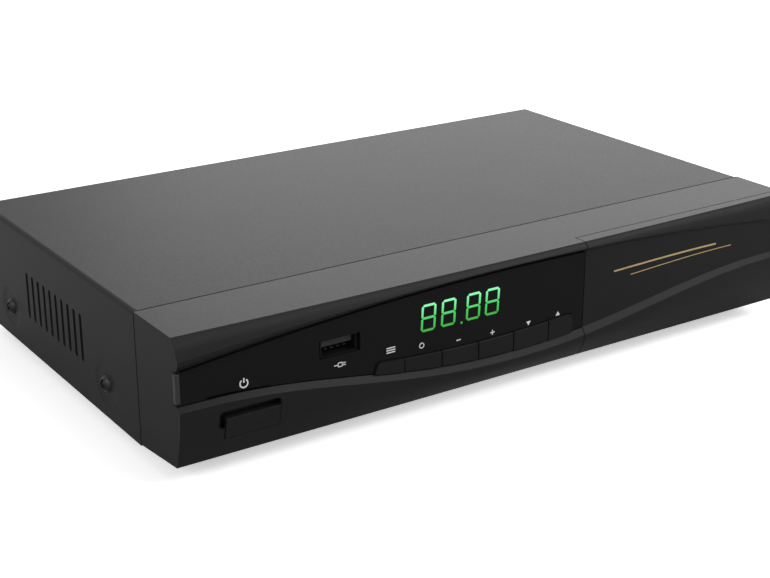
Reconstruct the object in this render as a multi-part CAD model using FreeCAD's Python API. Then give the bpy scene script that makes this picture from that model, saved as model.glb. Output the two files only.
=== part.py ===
import FreeCAD, Part
import math
import os

# Satellite receiver: a folded steel case with a moulded front and a drop-down card flap.
# Millimetres. The pieces are drawn in a seam frame: X = 0 in the middle of the width, Y = 0 on the seam
# between the steel cover and the moulded front, Z = 0 at the lower front edge of the moulded front.
# put() moves every piece so that the finished part stands on Z = 0 with its box centred on X and Y.

V = FreeCAD.Vector

# Case
BODY_W = 260.0
COVER_DEPTH = 131.5
TOP_Z = 42.92
PAN_Z = -2.88
SHEET = 0.8
COVER_FIT = 0.12
HALF_W = BODY_W / 2
BEND_R = 1.6
LIP_H = 14.0
FRONT_WALL_GAP = 0.3
FOOT_H = 4.0
FOOT_R = 8.0
FOOT_INSET_X = 30.0
FOOT_INSET_Y = 24.0
FOOT_SCREW_R = 1.5

# Moulded front
WALL = 2.2
BAND_Y = -27.5
LIP_REACH = 1.75
LEDGE_REACH = 1.75
BOTTOM_FRONT_Y = -25.3
BOTTOM_REAR_Z = -2.4
CREASE_MID_Y = -26.9
CREASE_END_Y = -25.2
BAND_TOP_MID = 40.3
BAND_TOP_END = 32.6
BAND_LOW_MID = 9.7
BAND_LOW_END = 21.2
BAND_LOW_RUN = 120.0
BAND_LOW_LEFT_POWER = 1.2
LEDGE_DROP_END = 1.5
LEDGE_DROP_MID = 2.4
INNER_FRONT_Y = -24.0
STATIONS = 21

# Smoked window
WINDOW_T = 1.5
WINDOW_FIT = 0.12
WINDOW_WRAP = 2.1
WINDOW_WRAP_T = 1.5
FLAP_SEAM_X = 28.4
SEAM_GAP = 0.3

# Card flap and its hinge
FLAP_BACK_Y = -22.0
FLAP_WALL = 2.0
HINGE_Y = -19.5
HINGE_Z = 4.5
PEG_R = 1.2
PEG_FIT = 0.05
PEG_LEN = 1.7
EAR_T = 2.2
EAR_R = 2.7
BAY_WALL_Y = -14.2
BAY_WALL_T = 1.8
CHEEK_T = 2.2

# Keys
KEY_FACE_Y = -28.3
KEY_GAP = 0.3
KEY_FIT = 0.25
KEY_EDGES = (-60.0, -48.3, -33.2, -18.1, -3.1, 12.2, 23.1)
KEY_TOP_MID_Z = 16.4
KEY_TOP_MID_X = -15.0
KEY_TOP_RISE = 0.00112
KEY_FLANGE = 0.9
KEY_FLANGE_T = 0.8
KEY_CORNER = 2.2
STEM = 3.6
KEY_NAMES = ("menu_key", "ok_key", "volume_down_key", "volume_up_key", "channel_down_key", "channel_up_key")

# Power button
POWER_X0 = -HALF_W + 15.6
POWER_X1 = POWER_X0 + 19.0
POWER_Z0 = 6.8
POWER_Z1 = 13.7
POWER_FIT = 0.3
POWER_TRAVEL = 1.0
SCOOP_X0 = POWER_X0 - 2.4
SCOOP_Z0 = 10.4
SCOOP_Z1 = 16.5
SCOOP_Y = -26.1

# Front board and what it carries
FRONT_BOARD_Y = -11.0
BOARD_T = 1.6
FRONT_BOARD_X0 = -HALF_W + 6.0
FRONT_BOARD_X1 = 23.0
FRONT_BOARD_Z0 = 4.0
FRONT_BOARD_Z1 = 39.0
SWITCH_SIZE = 6.0
SWITCH_DEPTH = 3.5
PLUNGER_R = 1.6
PLUNGER_FIT = 0.08
PLUNGER_OUT = 2.0
PLUNGER_IN = 1.4
DISPLAY_X = -25.3
DISPLAY_Z = 29.75
DISPLAY_W = 38.6
DISPLAY_H = 13.6
DISPLAY_FIT = 0.35
DISPLAY_BEHIND = 0.3
IR_X = -HALF_W + 12.0
IR_Z = 27.6
IR_W = 5.6
IR_H = 6.4
USB_X = -72.6
USB_Z = 27.5
USB_W = 13.4
USB_H = 5.9
USB_SHEET = 0.35
USB_APERTURE_W = 15.2
USB_APERTURE_H = 6.3
USB_TONGUE_W = 11.4
USB_TONGUE_T = 1.9

# Side vents and screws
VENT_COUNT = 10
VENT_PITCH = 5.24
VENT_FIRST_Y = 43.3
VENT_W = 1.9
VENT_Z0 = 10.6
VENT_Z1 = 28.0
SIDE_SCREW_Y = (25.2, 108.8)
SIDE_SCREW_Z = 9.2
SIDE_HEAD_R = 3.1
SIDE_HEAD_H = 1.7
DIMPLE_R = 8.6
DIMPLE_DEPTH = 0.35
SCREW_R = 1.45
SCREW_FIT = 0.1

REAR_SCREW_X = (-HALF_W + 64.0, HALF_W - 72.0)
REAR_SCREW_Z = 36.5
REAR_TAB_W = 12.0
BEZEL_SCREW_PLACES = ((-HALF_W + 12.0, 34.0), (-HALF_W + 12.0, 14.0), (FLAP_SEAM_X + 1.1, 36.5),
                      (HALF_W - 7.0, 36.5))
BEZEL_BOSS_R = 3.0

# Main board bay
STANDOFF_H = 5.0
STANDOFF_R = 3.0
BOARD_EDGE = 8.0
BOARD_SPACE = 4.0
PSU_W = 56.0
PSU_X0 = -HALF_W + BOARD_EDGE
PSU_X1 = PSU_X0 + PSU_W
PSU_Y0 = 22.0
PSU_Y1 = COVER_DEPTH - 19.5
MAIN_X0 = PSU_X1 + BOARD_SPACE
MAIN_X1 = HALF_W - BOARD_EDGE
MAIN_Y0 = 6.0
MAIN_Y1 = COVER_DEPTH - 5.5
BOARD_SCREW_IN = 5.0
SOCKET_DEEPEST = 15.0
BOARD_SCREW_R = 1.4

# Pieces on the boards. Capacitors: offset from the board's edge, Y, radius, height
CHIP_X = 11.0
CHIP_Y = 65.0
CHIP_W = 22.0
CHIP_T = 2.6
FIN_OVERHANG = 3.0
FIN_BASE = 2.5
FIN_COUNT = 9
FIN_T = 1.6
FIN_H = 12.5
MEMORY_W = 9.0
MEMORY_L = 11.0
MEMORY_T = 1.1
MEMORY_GAP = 3.0
MAIN_CAPACITORS = ((44.0, 30.0, 4.0, 12.0), (44.0, 44.0, 4.0, 12.0), (57.0, 96.0, 3.2, 9.0),
                   (86.0, 30.0, 3.2, 9.0))
PSU_CAPACITORS = ((-9.0, 88.0, 5.0, 18.0), (-9.0, 74.0, 5.0, 18.0), (-24.0, 82.0, 4.0, 14.0))
MAINS_CAP_R = 9.0
MAINS_CAP_H = 26.0
MAINS_CAP_IN = 13.0
MAINS_CAP_Y = 78.0
CORE_IN = 20.0
CORE_BACK = 18.0
CORE_W = 26.0
CORE_MARGIN = 2.5
FUSE_IN = 6.0
FUSE_Y = 93.5
FUSE_L = 17.0
FUSE_R = 2.6
FUSE_CLIP_W = 7.0
FUSE_CLIP_T = 3.0
HARNESS_Y = 42.0
HARNESS_PITCH = 2.0
HARNESS_WIRES = 5
PLUG_HALF = 3.0
RIBBON_X = -6.0
RIBBON_HALF = 10.0
RIBBON_Z = 14.0

# Card slots behind the flap
SLOT_W = 56.0
SLOT_X1 = HALF_W - 24.0
SLOT_X0 = SLOT_X1 - SLOT_W
MODULE_H = 7.0
MODULE_Z = 6.6
MODULE_DEPTH = 62.0
CAGE_SHEET = 0.6
CARD_SLOT_H = 2.2
CARD_READER_Z = 24.0
CARD_READER_H = 7.0
CARD_READER_DEPTH = 58.0
EJECT_X = SLOT_X1 + 6.0
EJECT_W = 5.0
EJECT_H = 5.0
EJECT_OUT = 5.0
EJECT_TRAVEL = 3.5

# Rear sockets, set out from the right end towards the left
REAR_OUT = 11.0
SOCKET_GAP = 2.5
TUNER_W = 42.0
TUNER_H = 28.0
TUNER_DEPTH = 30.0
TUNER_X = HALF_W - 17.0 - TUNER_W / 2
F_CONNECTOR_R = 4.7625
F_BORE_R = 2.6
F_NECK_STEP = 0.6
F_CONNECTOR_PITCH = 24.0
F_CONNECTOR_Z = 19.0
F_NUT_AF = 11.0
F_NUT_T = 2.4
LAN_W = 16.0
LAN_H = 13.6
LAN_X = TUNER_X - TUNER_W / 2 - SOCKET_GAP - LAN_W / 2
JACK_PITCH = 14.0
JACK_EDGE = 6.5
JACK_X = LAN_X - LAN_W / 2 - SOCKET_GAP - JACK_PITCH - JACK_EDGE
JACK_OUT = 9.0
JACK_R = 4.15
JACK_BORE_R = 1.7
JACK_COLLAR = 0.6
SCART_W = 47.0
SCART_H = 12.0
SCART_X = JACK_X - JACK_PITCH - JACK_EDGE - SOCKET_GAP - SCART_W / 2
HDMI_W = 15.0
HDMI_H = 5.8
REAR_GAP = 0.2
INLET_X = -HALF_W + 42.0
INLET_Z = 18.0
INLET_W = 20.0
INLET_H = 13.0
INLET_RECESS_R = 4.6
INLET_PIN_PITCH = 8.6
INLET_PIN_R = 1.2
INLET_DEPTH = 14.0
INLET_RECESS = 10.0
SWITCH_X = -HALF_W + 17.0
ROCKER_W = 8.6
ROCKER_H = 14.0
ROCKER_TILT = 10.0
ROCKER_PIN_R = 1.0
ROCKER_FIT = 0.06

FRONT_REACH = -BAND_Y + LIP_REACH
SEAM_Y = (FRONT_REACH - COVER_DEPTH - REAR_OUT) / 2
FLOOR_RISE = FOOT_H - PAN_Z
PAN_TOP = PAN_Z + SHEET
TRAY_HALF = HALF_W - SHEET - COVER_FIT
TRAY_TOP = TOP_Z - SHEET - COVER_FIT
REAR_WALL_Y = COVER_DEPTH - SHEET
F_CONNECTOR_X = (TUNER_X + F_CONNECTOR_PITCH / 2, TUNER_X - F_CONNECTOR_PITCH / 2)
BOARD_Z = PAN_TOP + STANDOFF_H
BOARD_TOP = BOARD_Z + BOARD_T
SWITCH_FACE_Y = FRONT_BOARD_Y - BOARD_T - SWITCH_DEPTH
STEM_END_Y = SWITCH_FACE_Y - PLUNGER_OUT

os.makedirs("parts", exist_ok=True)


def put(name, shape):
    moved = shape.copy()
    moved.translate(V(0, SEAM_Y, FLOOR_RISE))
    moved.exportStep("parts/" + name + ".step")


def box(x0, x1, y0, y1, z0, z1):
    return Part.makeBox(x1 - x0, y1 - y0, z1 - z0, V(x0, y0, z0))


def cyl(radius, start, axis, length):
    return Part.makeCylinder(radius, length, V(*start), V(*axis))


def joined(shapes):
    result = shapes[0]
    if len(shapes) > 1:
        result = shapes[0].fuse(shapes[1:])
    return result.removeSplitter()


def group(shapes):
    return Part.makeCompound(shapes)


def stadium_prism(x0, x1, y, z, width, height):
    """An upright slot-shaped prism along X, its ends rounded over half its width."""
    r = width / 2
    body = box(x0, x1, y - r, y + r, z + r, z + height - r)
    low = cyl(r, (x0, y, z + r), (1, 0, 0), x1 - x0)
    high = cyl(r, (x0, y, z + height - r), (1, 0, 0), x1 - x0)
    return joined([body, low, high])


def round_edges(shape, axis, radius):
    """Fillets the straight edges that run along one axis."""
    picked = []
    for edge in shape.Edges:
        if not isinstance(edge.Curve, Part.Line):
            continue
        if abs(abs(edge.tangentAt(edge.FirstParameter).dot(V(*axis))) - 1) < 1e-6:
            picked.append(edge)
    return shape.makeFillet(radius, picked)


def rounded_box(x0, x1, y0, y1, z0, z1, axis, radius):
    return round_edges(box(x0, x1, y0, y1, z0, z1), axis, radius)


def pan_screw(place, out_axis, head_r, head_h, shank_r, shank_len):
    """A domed head standing out along out_axis from place, a cross in its crown and a plain shank behind."""
    out = V(*out_axis)
    seat = V(*place)
    sphere_r = (head_r * head_r + head_h * head_h) / (2 * head_h)
    dome = Part.makeSphere(sphere_r, seat + out * (head_h - sphere_r))
    head = Part.makeCylinder(head_r, head_h, seat, out).common(dome)
    shank = Part.makeCylinder(shank_r, shank_len, seat, out * -1)
    side = V(out.y, out.z, out.x)
    other = out.cross(side)
    cross_w = head_r * 0.22
    cross_l = head_r * 0.62
    depth = head_h * 0.55
    cutters = []
    for a, b in ((side, other), (other, side)):
        corner = seat + out * (head_h - depth) - a * cross_l - b * cross_w
        wire = Part.makePolygon([corner, corner + a * (2 * cross_l),
                                 corner + a * (2 * cross_l) + b * (2 * cross_w),
                                 corner + b * (2 * cross_w), corner])
        cutters.append(Part.Face(wire).extrude(out * head_h))
    return joined([head, shank]).cut(cutters[0]).cut(cutters[1])


def band_top(x):
    """Height of the band's upper edge: a parabola, highest in the middle."""
    return BAND_TOP_MID - (BAND_TOP_MID - BAND_TOP_END) * (x / HALF_W) ** 2


def band_low(x):
    """Height of the band's lower edge: an S on each side of the middle, level beyond its run."""
    reach = min(abs(x) / BAND_LOW_RUN, 1.0)
    rise = math.sin(math.pi * reach / 2) ** 2
    if x < 0:
        rise = rise ** BAND_LOW_LEFT_POWER
    return BAND_LOW_MID + (BAND_LOW_END - BAND_LOW_MID) * rise


def key_top(x):
    """Height of the keys' upper edge: a shallow parabola."""
    return KEY_TOP_MID_Z + KEY_TOP_RISE * (x - KEY_TOP_MID_X) ** 2


def front_section(x):
    """The moulded front's outline in Y and Z at one place across the width."""
    t2 = (x / HALF_W) ** 2
    low = band_low(x)
    top = band_top(x)
    drop = LEDGE_DROP_MID + (LEDGE_DROP_END - LEDGE_DROP_MID) * t2
    ledge_y = BAND_Y - LEDGE_REACH
    lip_y = BAND_Y - LIP_REACH * (0.6 + 0.4 * t2)
    lip_h = TOP_Z - top
    crease_y = CREASE_MID_Y + (CREASE_END_Y - CREASE_MID_Y) * t2
    points = [(0.0, BOTTOM_REAR_Z), (BOTTOM_FRONT_Y, 0.0)]
    for share in (0.25, 0.5, 0.75):
        bulge = math.sin(math.pi / 2 * share)
        points.append((BOTTOM_FRONT_Y + (ledge_y - BOTTOM_FRONT_Y) * bulge, (low - drop) * share))
    points.append((ledge_y, low - drop))
    points.append((BAND_Y, low))
    points.append((BAND_Y, top))
    points.append((lip_y + 0.35, top + lip_h * 0.18))
    points.append((lip_y, top + lip_h * 0.34))
    points.append((lip_y + (crease_y - lip_y) * 0.32, top + lip_h * 0.66))
    points.append((lip_y + (crease_y - lip_y) * 0.68, top + lip_h * 0.9))
    points.append((crease_y, TOP_Z))
    points.append((0.0, TOP_Z))
    return points


def front_block():
    """The moulded front as one closed body, lofted through its outlines."""
    wires = []
    for i in range(STATIONS):
        x = -HALF_W + BODY_W * i / (STATIONS - 1)
        corners = [V(x, y, z) for y, z in front_section(x)]
        wires.append(Part.makePolygon(corners + corners[:1]))
    return Part.makeLoft(wires, True, False)


def band_prism(x0, x1, y0, y1, grow):
    """The band's outline between two places, grown by a clearance and carried along Y."""
    count = 16
    xs = [x0 + (x1 - x0) * i / count for i in range(count + 1)]
    low = Part.BSplineCurve()
    low.interpolate([V(x, y0, band_low(x) - grow) for x in xs])
    top = Part.BSplineCurve()
    top.interpolate([V(x, y0, band_top(x) + grow) for x in xs])
    right = Part.makeLine(low.EndPoint, top.EndPoint)
    left = Part.makeLine(top.StartPoint, low.StartPoint)
    wire = Part.Wire(Part.__sortEdges__([low.toShape(), right, top.toShape(), left]))
    return Part.Face(wire).extrude(V(0, y1 - y0, 0))


def key_prism(x0, x1, y0, y1, grow, round_left, round_right):
    """One key's outline, or the whole row's, grown by a clearance and carried along Y."""
    count = 8
    xs = [x0 - grow + (x1 - x0 + 2 * grow) * i / count for i in range(count + 1)]
    low = [V(x, y0, band_low(x) - grow) for x in xs]
    top = [V(x, y0, key_top(x) + grow) for x in reversed(xs)]
    if round_left:
        inner = xs[0] + KEY_CORNER
        top = [p for p in top if p.x > inner + 0.4]
        top.append(V(inner + 0.4, y0, key_top(inner) + grow))
        top.append(V(xs[0] + 1.2, y0, key_top(xs[0]) + grow - 0.9))
    if round_right:
        inner = xs[-1] - KEY_CORNER
        top = [p for p in top if p.x < inner - 0.4]
        top.insert(0, V(inner - 0.4, y0, key_top(inner) + grow))
        top.insert(0, V(xs[-1] - 0.6, y0, key_top(xs[-1]) + grow - 0.7))
        top.insert(0, V(xs[-1], y0, key_top(xs[-1]) + grow - KEY_CORNER))
    wire = Part.makePolygon(low + top + low[:1])
    return Part.Face(wire).extrude(V(0, y1 - y0, 0))


def key_row(y0, y1, grow):
    return key_prism(KEY_EDGES[0], KEY_EDGES[-1], y0, y1, grow, True, True)


def key_centre(index):
    x = (KEY_EDGES[index] + KEY_EDGES[index + 1]) / 2
    return x, (band_low(x) + key_top(x)) / 2


POWER_STEM_X = (POWER_X0 + POWER_X1) / 2
POWER_STEM_Z = (POWER_Z0 + POWER_Z1) / 2


def button_places():
    """The middle of the power button and of each key, as X and Z."""
    return [(POWER_STEM_X, POWER_STEM_Z)] + [key_centre(i) for i in range(len(KEY_NAMES))]


def make_cover():
    outer = box(-HALF_W, HALF_W, FRONT_WALL_GAP / 2, COVER_DEPTH, PAN_Z, TOP_Z)
    outer = outer.makeFillet(BEND_R, [e for e in outer.Edges if is_top_side(e)])
    inner = box(-HALF_W + SHEET, HALF_W - SHEET, -1, COVER_DEPTH + 1, PAN_Z - 1, TOP_Z - SHEET)
    inner = inner.makeFillet(BEND_R - SHEET, [e for e in inner.Edges if is_top_side(e)])
    shell = outer.cut(inner)
    tab_y = REAR_WALL_Y - COVER_FIT - SHEET
    half = REAR_TAB_W / 2
    tab_top = TOP_Z - SHEET / 2
    tabs = [box(x - half, x + half, tab_y, tab_y + SHEET, REAR_SCREW_Z - half, tab_top) for x in REAR_SCREW_X]
    shell = joined([shell] + tabs)
    cuts = [cyl(SCREW_R + SCREW_FIT / 2, (x, tab_y - 1, REAR_SCREW_Z), (0, 1, 0), 4) for x in REAR_SCREW_X]
    for i in range(VENT_COUNT):
        y = VENT_FIRST_Y + VENT_PITCH * i
        cuts.append(stadium_prism(-HALF_W - 1, -HALF_W + 3, y, VENT_Z0, VENT_W, VENT_Z1 - VENT_Z0))
        cuts.append(stadium_prism(HALF_W - 3, HALF_W + 1, y, VENT_Z0, VENT_W, VENT_Z1 - VENT_Z0))
    for side in (-1, 1):
        for y in SIDE_SCREW_Y:
            start = V(side * (HALF_W - 3), y, SIDE_SCREW_Z)
            cuts.append(Part.makeCylinder(SCREW_R + SCREW_FIT, 6, start, V(side, 0, 0)))
            floor = V(side * (HALF_W - DIMPLE_DEPTH), y, SIDE_SCREW_Z)
            cuts.append(Part.makeCone(DIMPLE_R - 2.6, DIMPLE_R, DIMPLE_DEPTH, floor, V(side, 0, 0)))
    return shell.cut(cuts)


def is_top_side(edge):
    """True for an edge along Y at the top of a box."""
    along = abs(edge.tangentAt(edge.FirstParameter).y) > 0.999
    high = edge.BoundBox.ZMin > (PAN_Z + TOP_Z) / 2
    return along and high


def foot_places():
    xs = (-HALF_W + FOOT_INSET_X, HALF_W - FOOT_INSET_X)
    ys = (FOOT_INSET_Y, COVER_DEPTH - FOOT_INSET_Y)
    return [(x, y) for x in xs for y in ys]


def board_places(x0, x1, y0, y1):
    n = BOARD_SCREW_IN
    return [(x, y) for x in (x0 + n, x1 - n) for y in (y0 + n, y1 - n)]


def all_board_places():
    """Screw places near the corners of both boards; the main board's rear ones stay ahead of the sockets."""
    main_back = REAR_WALL_Y - SOCKET_DEEPEST - BOARD_SCREW_IN / 2
    return board_places(MAIN_X0, MAIN_X1, MAIN_Y0, main_back) + board_places(PSU_X0, PSU_X1, PSU_Y0, PSU_Y1)


def socket_cutouts():
    """Openings in the rear wall, each a little larger than the socket that shows through it."""
    y0 = REAR_WALL_Y - 1
    y1 = COVER_DEPTH + 1
    g = REAR_GAP
    cuts = []
    for x in F_CONNECTOR_X:
        cuts.append(cyl(F_CONNECTOR_R - F_NECK_STEP + g, (x, y0, F_CONNECTOR_Z), (0, 1, 0), y1 - y0))
    for lo, hi, z0, z1 in (hdmi_face(), lan_face(), scart_face(), inlet_face(), switch_face()):
        cuts.append(box(lo - g, hi + g, y0, y1, z0 - g, z1 + g))
    for x, z in jack_places():
        cuts.append(cyl(JACK_R + JACK_COLLAR + g, (x, y0, z), (0, 1, 0), y1 - y0))
    return cuts


def hdmi_face():
    return SCART_X - HDMI_W / 2, SCART_X + HDMI_W / 2, BOARD_TOP + 0.6, BOARD_TOP + 0.6 + HDMI_H


def lan_face():
    return LAN_X - LAN_W / 2, LAN_X + LAN_W / 2, BOARD_TOP, BOARD_TOP + LAN_H


def scart_face():
    return SCART_X - SCART_W / 2, SCART_X + SCART_W / 2, BOARD_TOP + 12.0, BOARD_TOP + 12.0 + SCART_H


def inlet_face():
    return INLET_X - INLET_W / 2, INLET_X + INLET_W / 2, INLET_Z - INLET_H / 2, INLET_Z + INLET_H / 2


def switch_face():
    half_w = ROCKER_W / 2 + 2.2
    half_h = ROCKER_H / 2 + 2.4
    return SWITCH_X - half_w, SWITCH_X + half_w, INLET_Z - half_h, INLET_Z + half_h


def jack_places():
    xs = [JACK_X + JACK_PITCH * (i - 1) for i in range(3)]
    return [(x, BOARD_TOP + 7.0 + JACK_PITCH * row) for row in (0, 1) for x in xs]


def make_tray():
    floor = box(-TRAY_HALF, TRAY_HALF, FRONT_WALL_GAP, COVER_DEPTH, PAN_Z, PAN_TOP)
    walls = [floor]
    for side in (-1, 1):
        inner = side * (TRAY_HALF - SHEET)
        outer = side * TRAY_HALF
        lo, hi = sorted((inner, outer))
        walls.append(box(lo, hi, FRONT_WALL_GAP, REAR_WALL_Y, PAN_TOP, PAN_TOP + LIP_H))
    walls.append(box(-TRAY_HALF, TRAY_HALF, FRONT_WALL_GAP, FRONT_WALL_GAP + SHEET, PAN_TOP, TRAY_TOP - 0.9))
    tray = joined(walls)
    cuts = [box(SLOT_X0 - 6, EJECT_X + 7, -1, 3, BOARD_TOP - 1, CARD_READER_Z + CARD_READER_H + 4)]
    cuts.append(box(FRONT_BOARD_X0 + 24, FRONT_BOARD_X1 - 13, -1, 3, 3, 30))
    for x, z in BEZEL_SCREW_PLACES:
        cuts.append(cyl(SCREW_R + SCREW_FIT, (x, -1, z), (0, 1, 0), 4))
    for side in (-1, 1):
        for y in SIDE_SCREW_Y:
            start = (side * (TRAY_HALF - 3), y, SIDE_SCREW_Z)
            cuts.append(cyl(SCREW_R + SCREW_FIT / 2, start, (side, 0, 0), 6))
    for x, y in foot_places():
        cuts.append(cyl(FOOT_SCREW_R + SCREW_FIT / 2, (x, y, PAN_Z - 1), (0, 0, 1), 4))
    return tray.cut(cuts)


def make_rear_panel():
    """The rear wall: one sheet that stands on the tray's floor, with an opening for each socket."""
    panel = box(-TRAY_HALF, TRAY_HALF, REAR_WALL_Y, COVER_DEPTH, PAN_TOP, TRAY_TOP - 0.9)
    cuts = socket_cutouts()
    for x in REAR_SCREW_X:
        cuts.append(cyl(SCREW_R + SCREW_FIT, (x, REAR_WALL_Y - 1, REAR_SCREW_Z), (0, 1, 0), 4))
    return panel.cut(cuts)


def bezel_cavity():
    """The room inside the moulded front, open towards the case."""
    outline = [(1.0, BOTTOM_REAR_Z + WALL), (-20.5, WALL), (INNER_FRONT_Y, BAND_LOW_MID - 1.5),
               (INNER_FRONT_Y, 34.0), (-22.6, TOP_Z - WALL), (1.0, TOP_Z - WALL)]
    corners = [V(-HALF_W + WALL, y, z) for y, z in outline]
    face = Part.Face(Part.makePolygon(corners + corners[:1]))
    return face.extrude(V(BODY_W - 2 * WALL, 0, 0))


def window_body(y_back, grow):
    """The window's plate with its return round the left corner."""
    right = FLAP_SEAM_X - SEAM_GAP + grow
    front = BAND_Y - (3.0 if grow else 0.0)
    deep = band_prism(-HALF_W - grow, right, front, BAND_Y + WINDOW_WRAP + grow, grow)
    return deep.cut(box(-HALF_W + WINDOW_WRAP_T + grow, right + 1, y_back, 0, -5, TOP_Z + 5))


def make_window():
    window = window_body(BAND_Y + WINDOW_T, 0.0)
    end_edges = [e for e in window.Edges if abs(e.BoundBox.XMax + HALF_W) < 1e-4]
    corner = [e for e in end_edges if abs(e.BoundBox.YMax - BAND_Y) < 1e-4]
    window = window.makeFillet(1.1, corner)
    window = window.cut(key_row(BAND_Y - 2, BAND_Y + WINDOW_T + 1, KEY_FIT))
    return window.cut(usb_aperture(BAND_Y - 2, BAND_Y + WINDOW_T + 1))


def usb_aperture(y0, y1):
    half_w = USB_APERTURE_W / 2
    half_h = USB_APERTURE_H / 2
    return box(USB_X - half_w, USB_X + half_w, y0, y1, USB_Z - half_h, USB_Z + half_h)


def display_box(y0, y1, grow):
    half_w = DISPLAY_W / 2 + grow
    half_h = DISPLAY_H / 2 + grow
    return box(DISPLAY_X - half_w, DISPLAY_X + half_w, y0, y1, DISPLAY_Z - half_h, DISPLAY_Z + half_h)


def make_bezel(block):
    bezel = block.cut(bezel_cavity())
    back = -FRONT_WALL_GAP / 2
    bezel = bezel.common(box(-HALF_W - 1, HALF_W + 1, -FRONT_REACH - 5, back, -5, TOP_Z + 5))
    cuts = [box(FLAP_SEAM_X - SEAM_GAP, HALF_W + 1, -FRONT_REACH - 5, FLAP_BACK_Y + SEAM_GAP, -5, TOP_Z + 5)]
    ear_top = HINGE_Z + EAR_R + 1
    cuts.append(box(FLAP_SEAM_X - SEAM_GAP, HALF_W - WALL, -FRONT_REACH - 5, BAY_WALL_Y - 0.4, -5, ear_top))
    cuts.append(box(FLAP_SEAM_X - SEAM_GAP, HALF_W + 1, -FRONT_REACH - 5, BAY_WALL_Y - 0.4, -5, swing_top()))
    knuckle = cyl(HINGE_Y - FLAP_BACK_Y - SEAM_GAP, (HALF_W - WALL, HINGE_Y, HINGE_Z), (1, 0, 0), WALL)
    cuts.append(box(HALF_W - WALL, HALF_W + 1, FLAP_BACK_Y, HINGE_Y, -5, HINGE_Z).cut(knuckle))
    cuts.append(window_body(BAND_Y + WINDOW_T, WINDOW_FIT))
    cuts.append(key_row(BAND_Y - 4, INNER_FRONT_Y + 1, KEY_FIT))
    cuts.append(usb_aperture(BAND_Y - 4, INNER_FRONT_Y + 1))
    cuts.append(display_box(BAND_Y - 4, INNER_FRONT_Y + 1, DISPLAY_FIT))
    cuts.append(box(IR_X - IR_W / 2 - 0.5, IR_X + IR_W / 2 + 0.5, BAND_Y, INNER_FRONT_Y + 1,
                    IR_Z - IR_H / 2 - 0.5, IR_Z + IR_H / 2 + 0.5))
    f = POWER_FIT
    cuts.append(box(POWER_X0 - f, POWER_X1 + f, -FRONT_REACH - 3, -18, POWER_Z0 - f, POWER_Z1 + f))
    scoop = box(SCOOP_X0, POWER_X1 + f, -FRONT_REACH - 3, SCOOP_Y, SCOOP_Z0, SCOOP_Z1)
    cuts.append(round_edges(scoop, (0, 1, 0), 1.5))
    bezel = bezel.cut(cuts)
    parts = [bezel, bay_wall()]
    for x, z in BEZEL_SCREW_PLACES:
        start = INNER_FRONT_Y - 0.4 if x < FLAP_SEAM_X - 5 else BAY_WALL_Y - 0.4
        parts.append(cyl(BEZEL_BOSS_R, (x, start, z), (0, 1, 0), back - start))
    bezel = joined(parts)
    holes = []
    for x, z in BEZEL_SCREW_PLACES:
        holes.append(cyl(SCREW_R + SCREW_FIT / 2, (x, back - 8, z), (0, 1, 0), 9))
    peg_hole = PEG_R + PEG_FIT
    cheek_x = FLAP_SEAM_X - SEAM_GAP - CHEEK_T
    holes.append(cyl(peg_hole, (cheek_x - 1, HINGE_Y, HINGE_Z), (1, 0, 0), CHEEK_T + 2))
    holes.append(cyl(peg_hole, (HALF_W - WALL - 1, HINGE_Y, HINGE_Z), (1, 0, 0), 1 + WALL - 0.4))
    return bezel.cut(holes)


def swing_top():
    """The height that the flap's lower edge reaches, with clearance, when the flap lies open."""
    return HINGE_Z + FLAP_BACK_Y - HINGE_Y + SEAM_GAP + 0.1


def bay_wall():
    """The panel behind the flap, with the module slot, the card slot and the eject button's hole."""
    x0 = FLAP_SEAM_X - SEAM_GAP - CHEEK_T
    x1 = HALF_W - WALL
    y0 = BAY_WALL_Y - BAY_WALL_T
    wall = box(x0, x1 + 0.5, y0, BAY_WALL_Y, swing_top() + 0.2, TOP_Z - WALL + 0.5)
    cheek = box(x0, x0 + CHEEK_T, INNER_FRONT_Y + 0.5, y0 + 0.5, 1.2, TOP_Z - WALL + 0.5)
    panel = joined([wall, cheek])
    g = REAR_GAP
    cuts = [box(SLOT_X0 - g, SLOT_X1 + g, y0 - 1, BAY_WALL_Y + 1, MODULE_Z - g, MODULE_Z + MODULE_H + g)]
    cuts.append(box(SLOT_X0, SLOT_X1, y0 - 1, BAY_WALL_Y + 1,
                    CARD_READER_Z + CARD_READER_H / 2 - CARD_SLOT_H / 2,
                    CARD_READER_Z + CARD_READER_H / 2 + CARD_SLOT_H / 2))
    half = EJECT_W / 2 + 0.3
    low = eject_z() - 0.3
    cuts.append(box(EJECT_X - half, EJECT_X + half, y0 - 1, BAY_WALL_Y + 1, low, low + EJECT_H + 0.6))
    return panel.cut(cuts)


def eject_z():
    return MODULE_Z + 1.0


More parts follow.
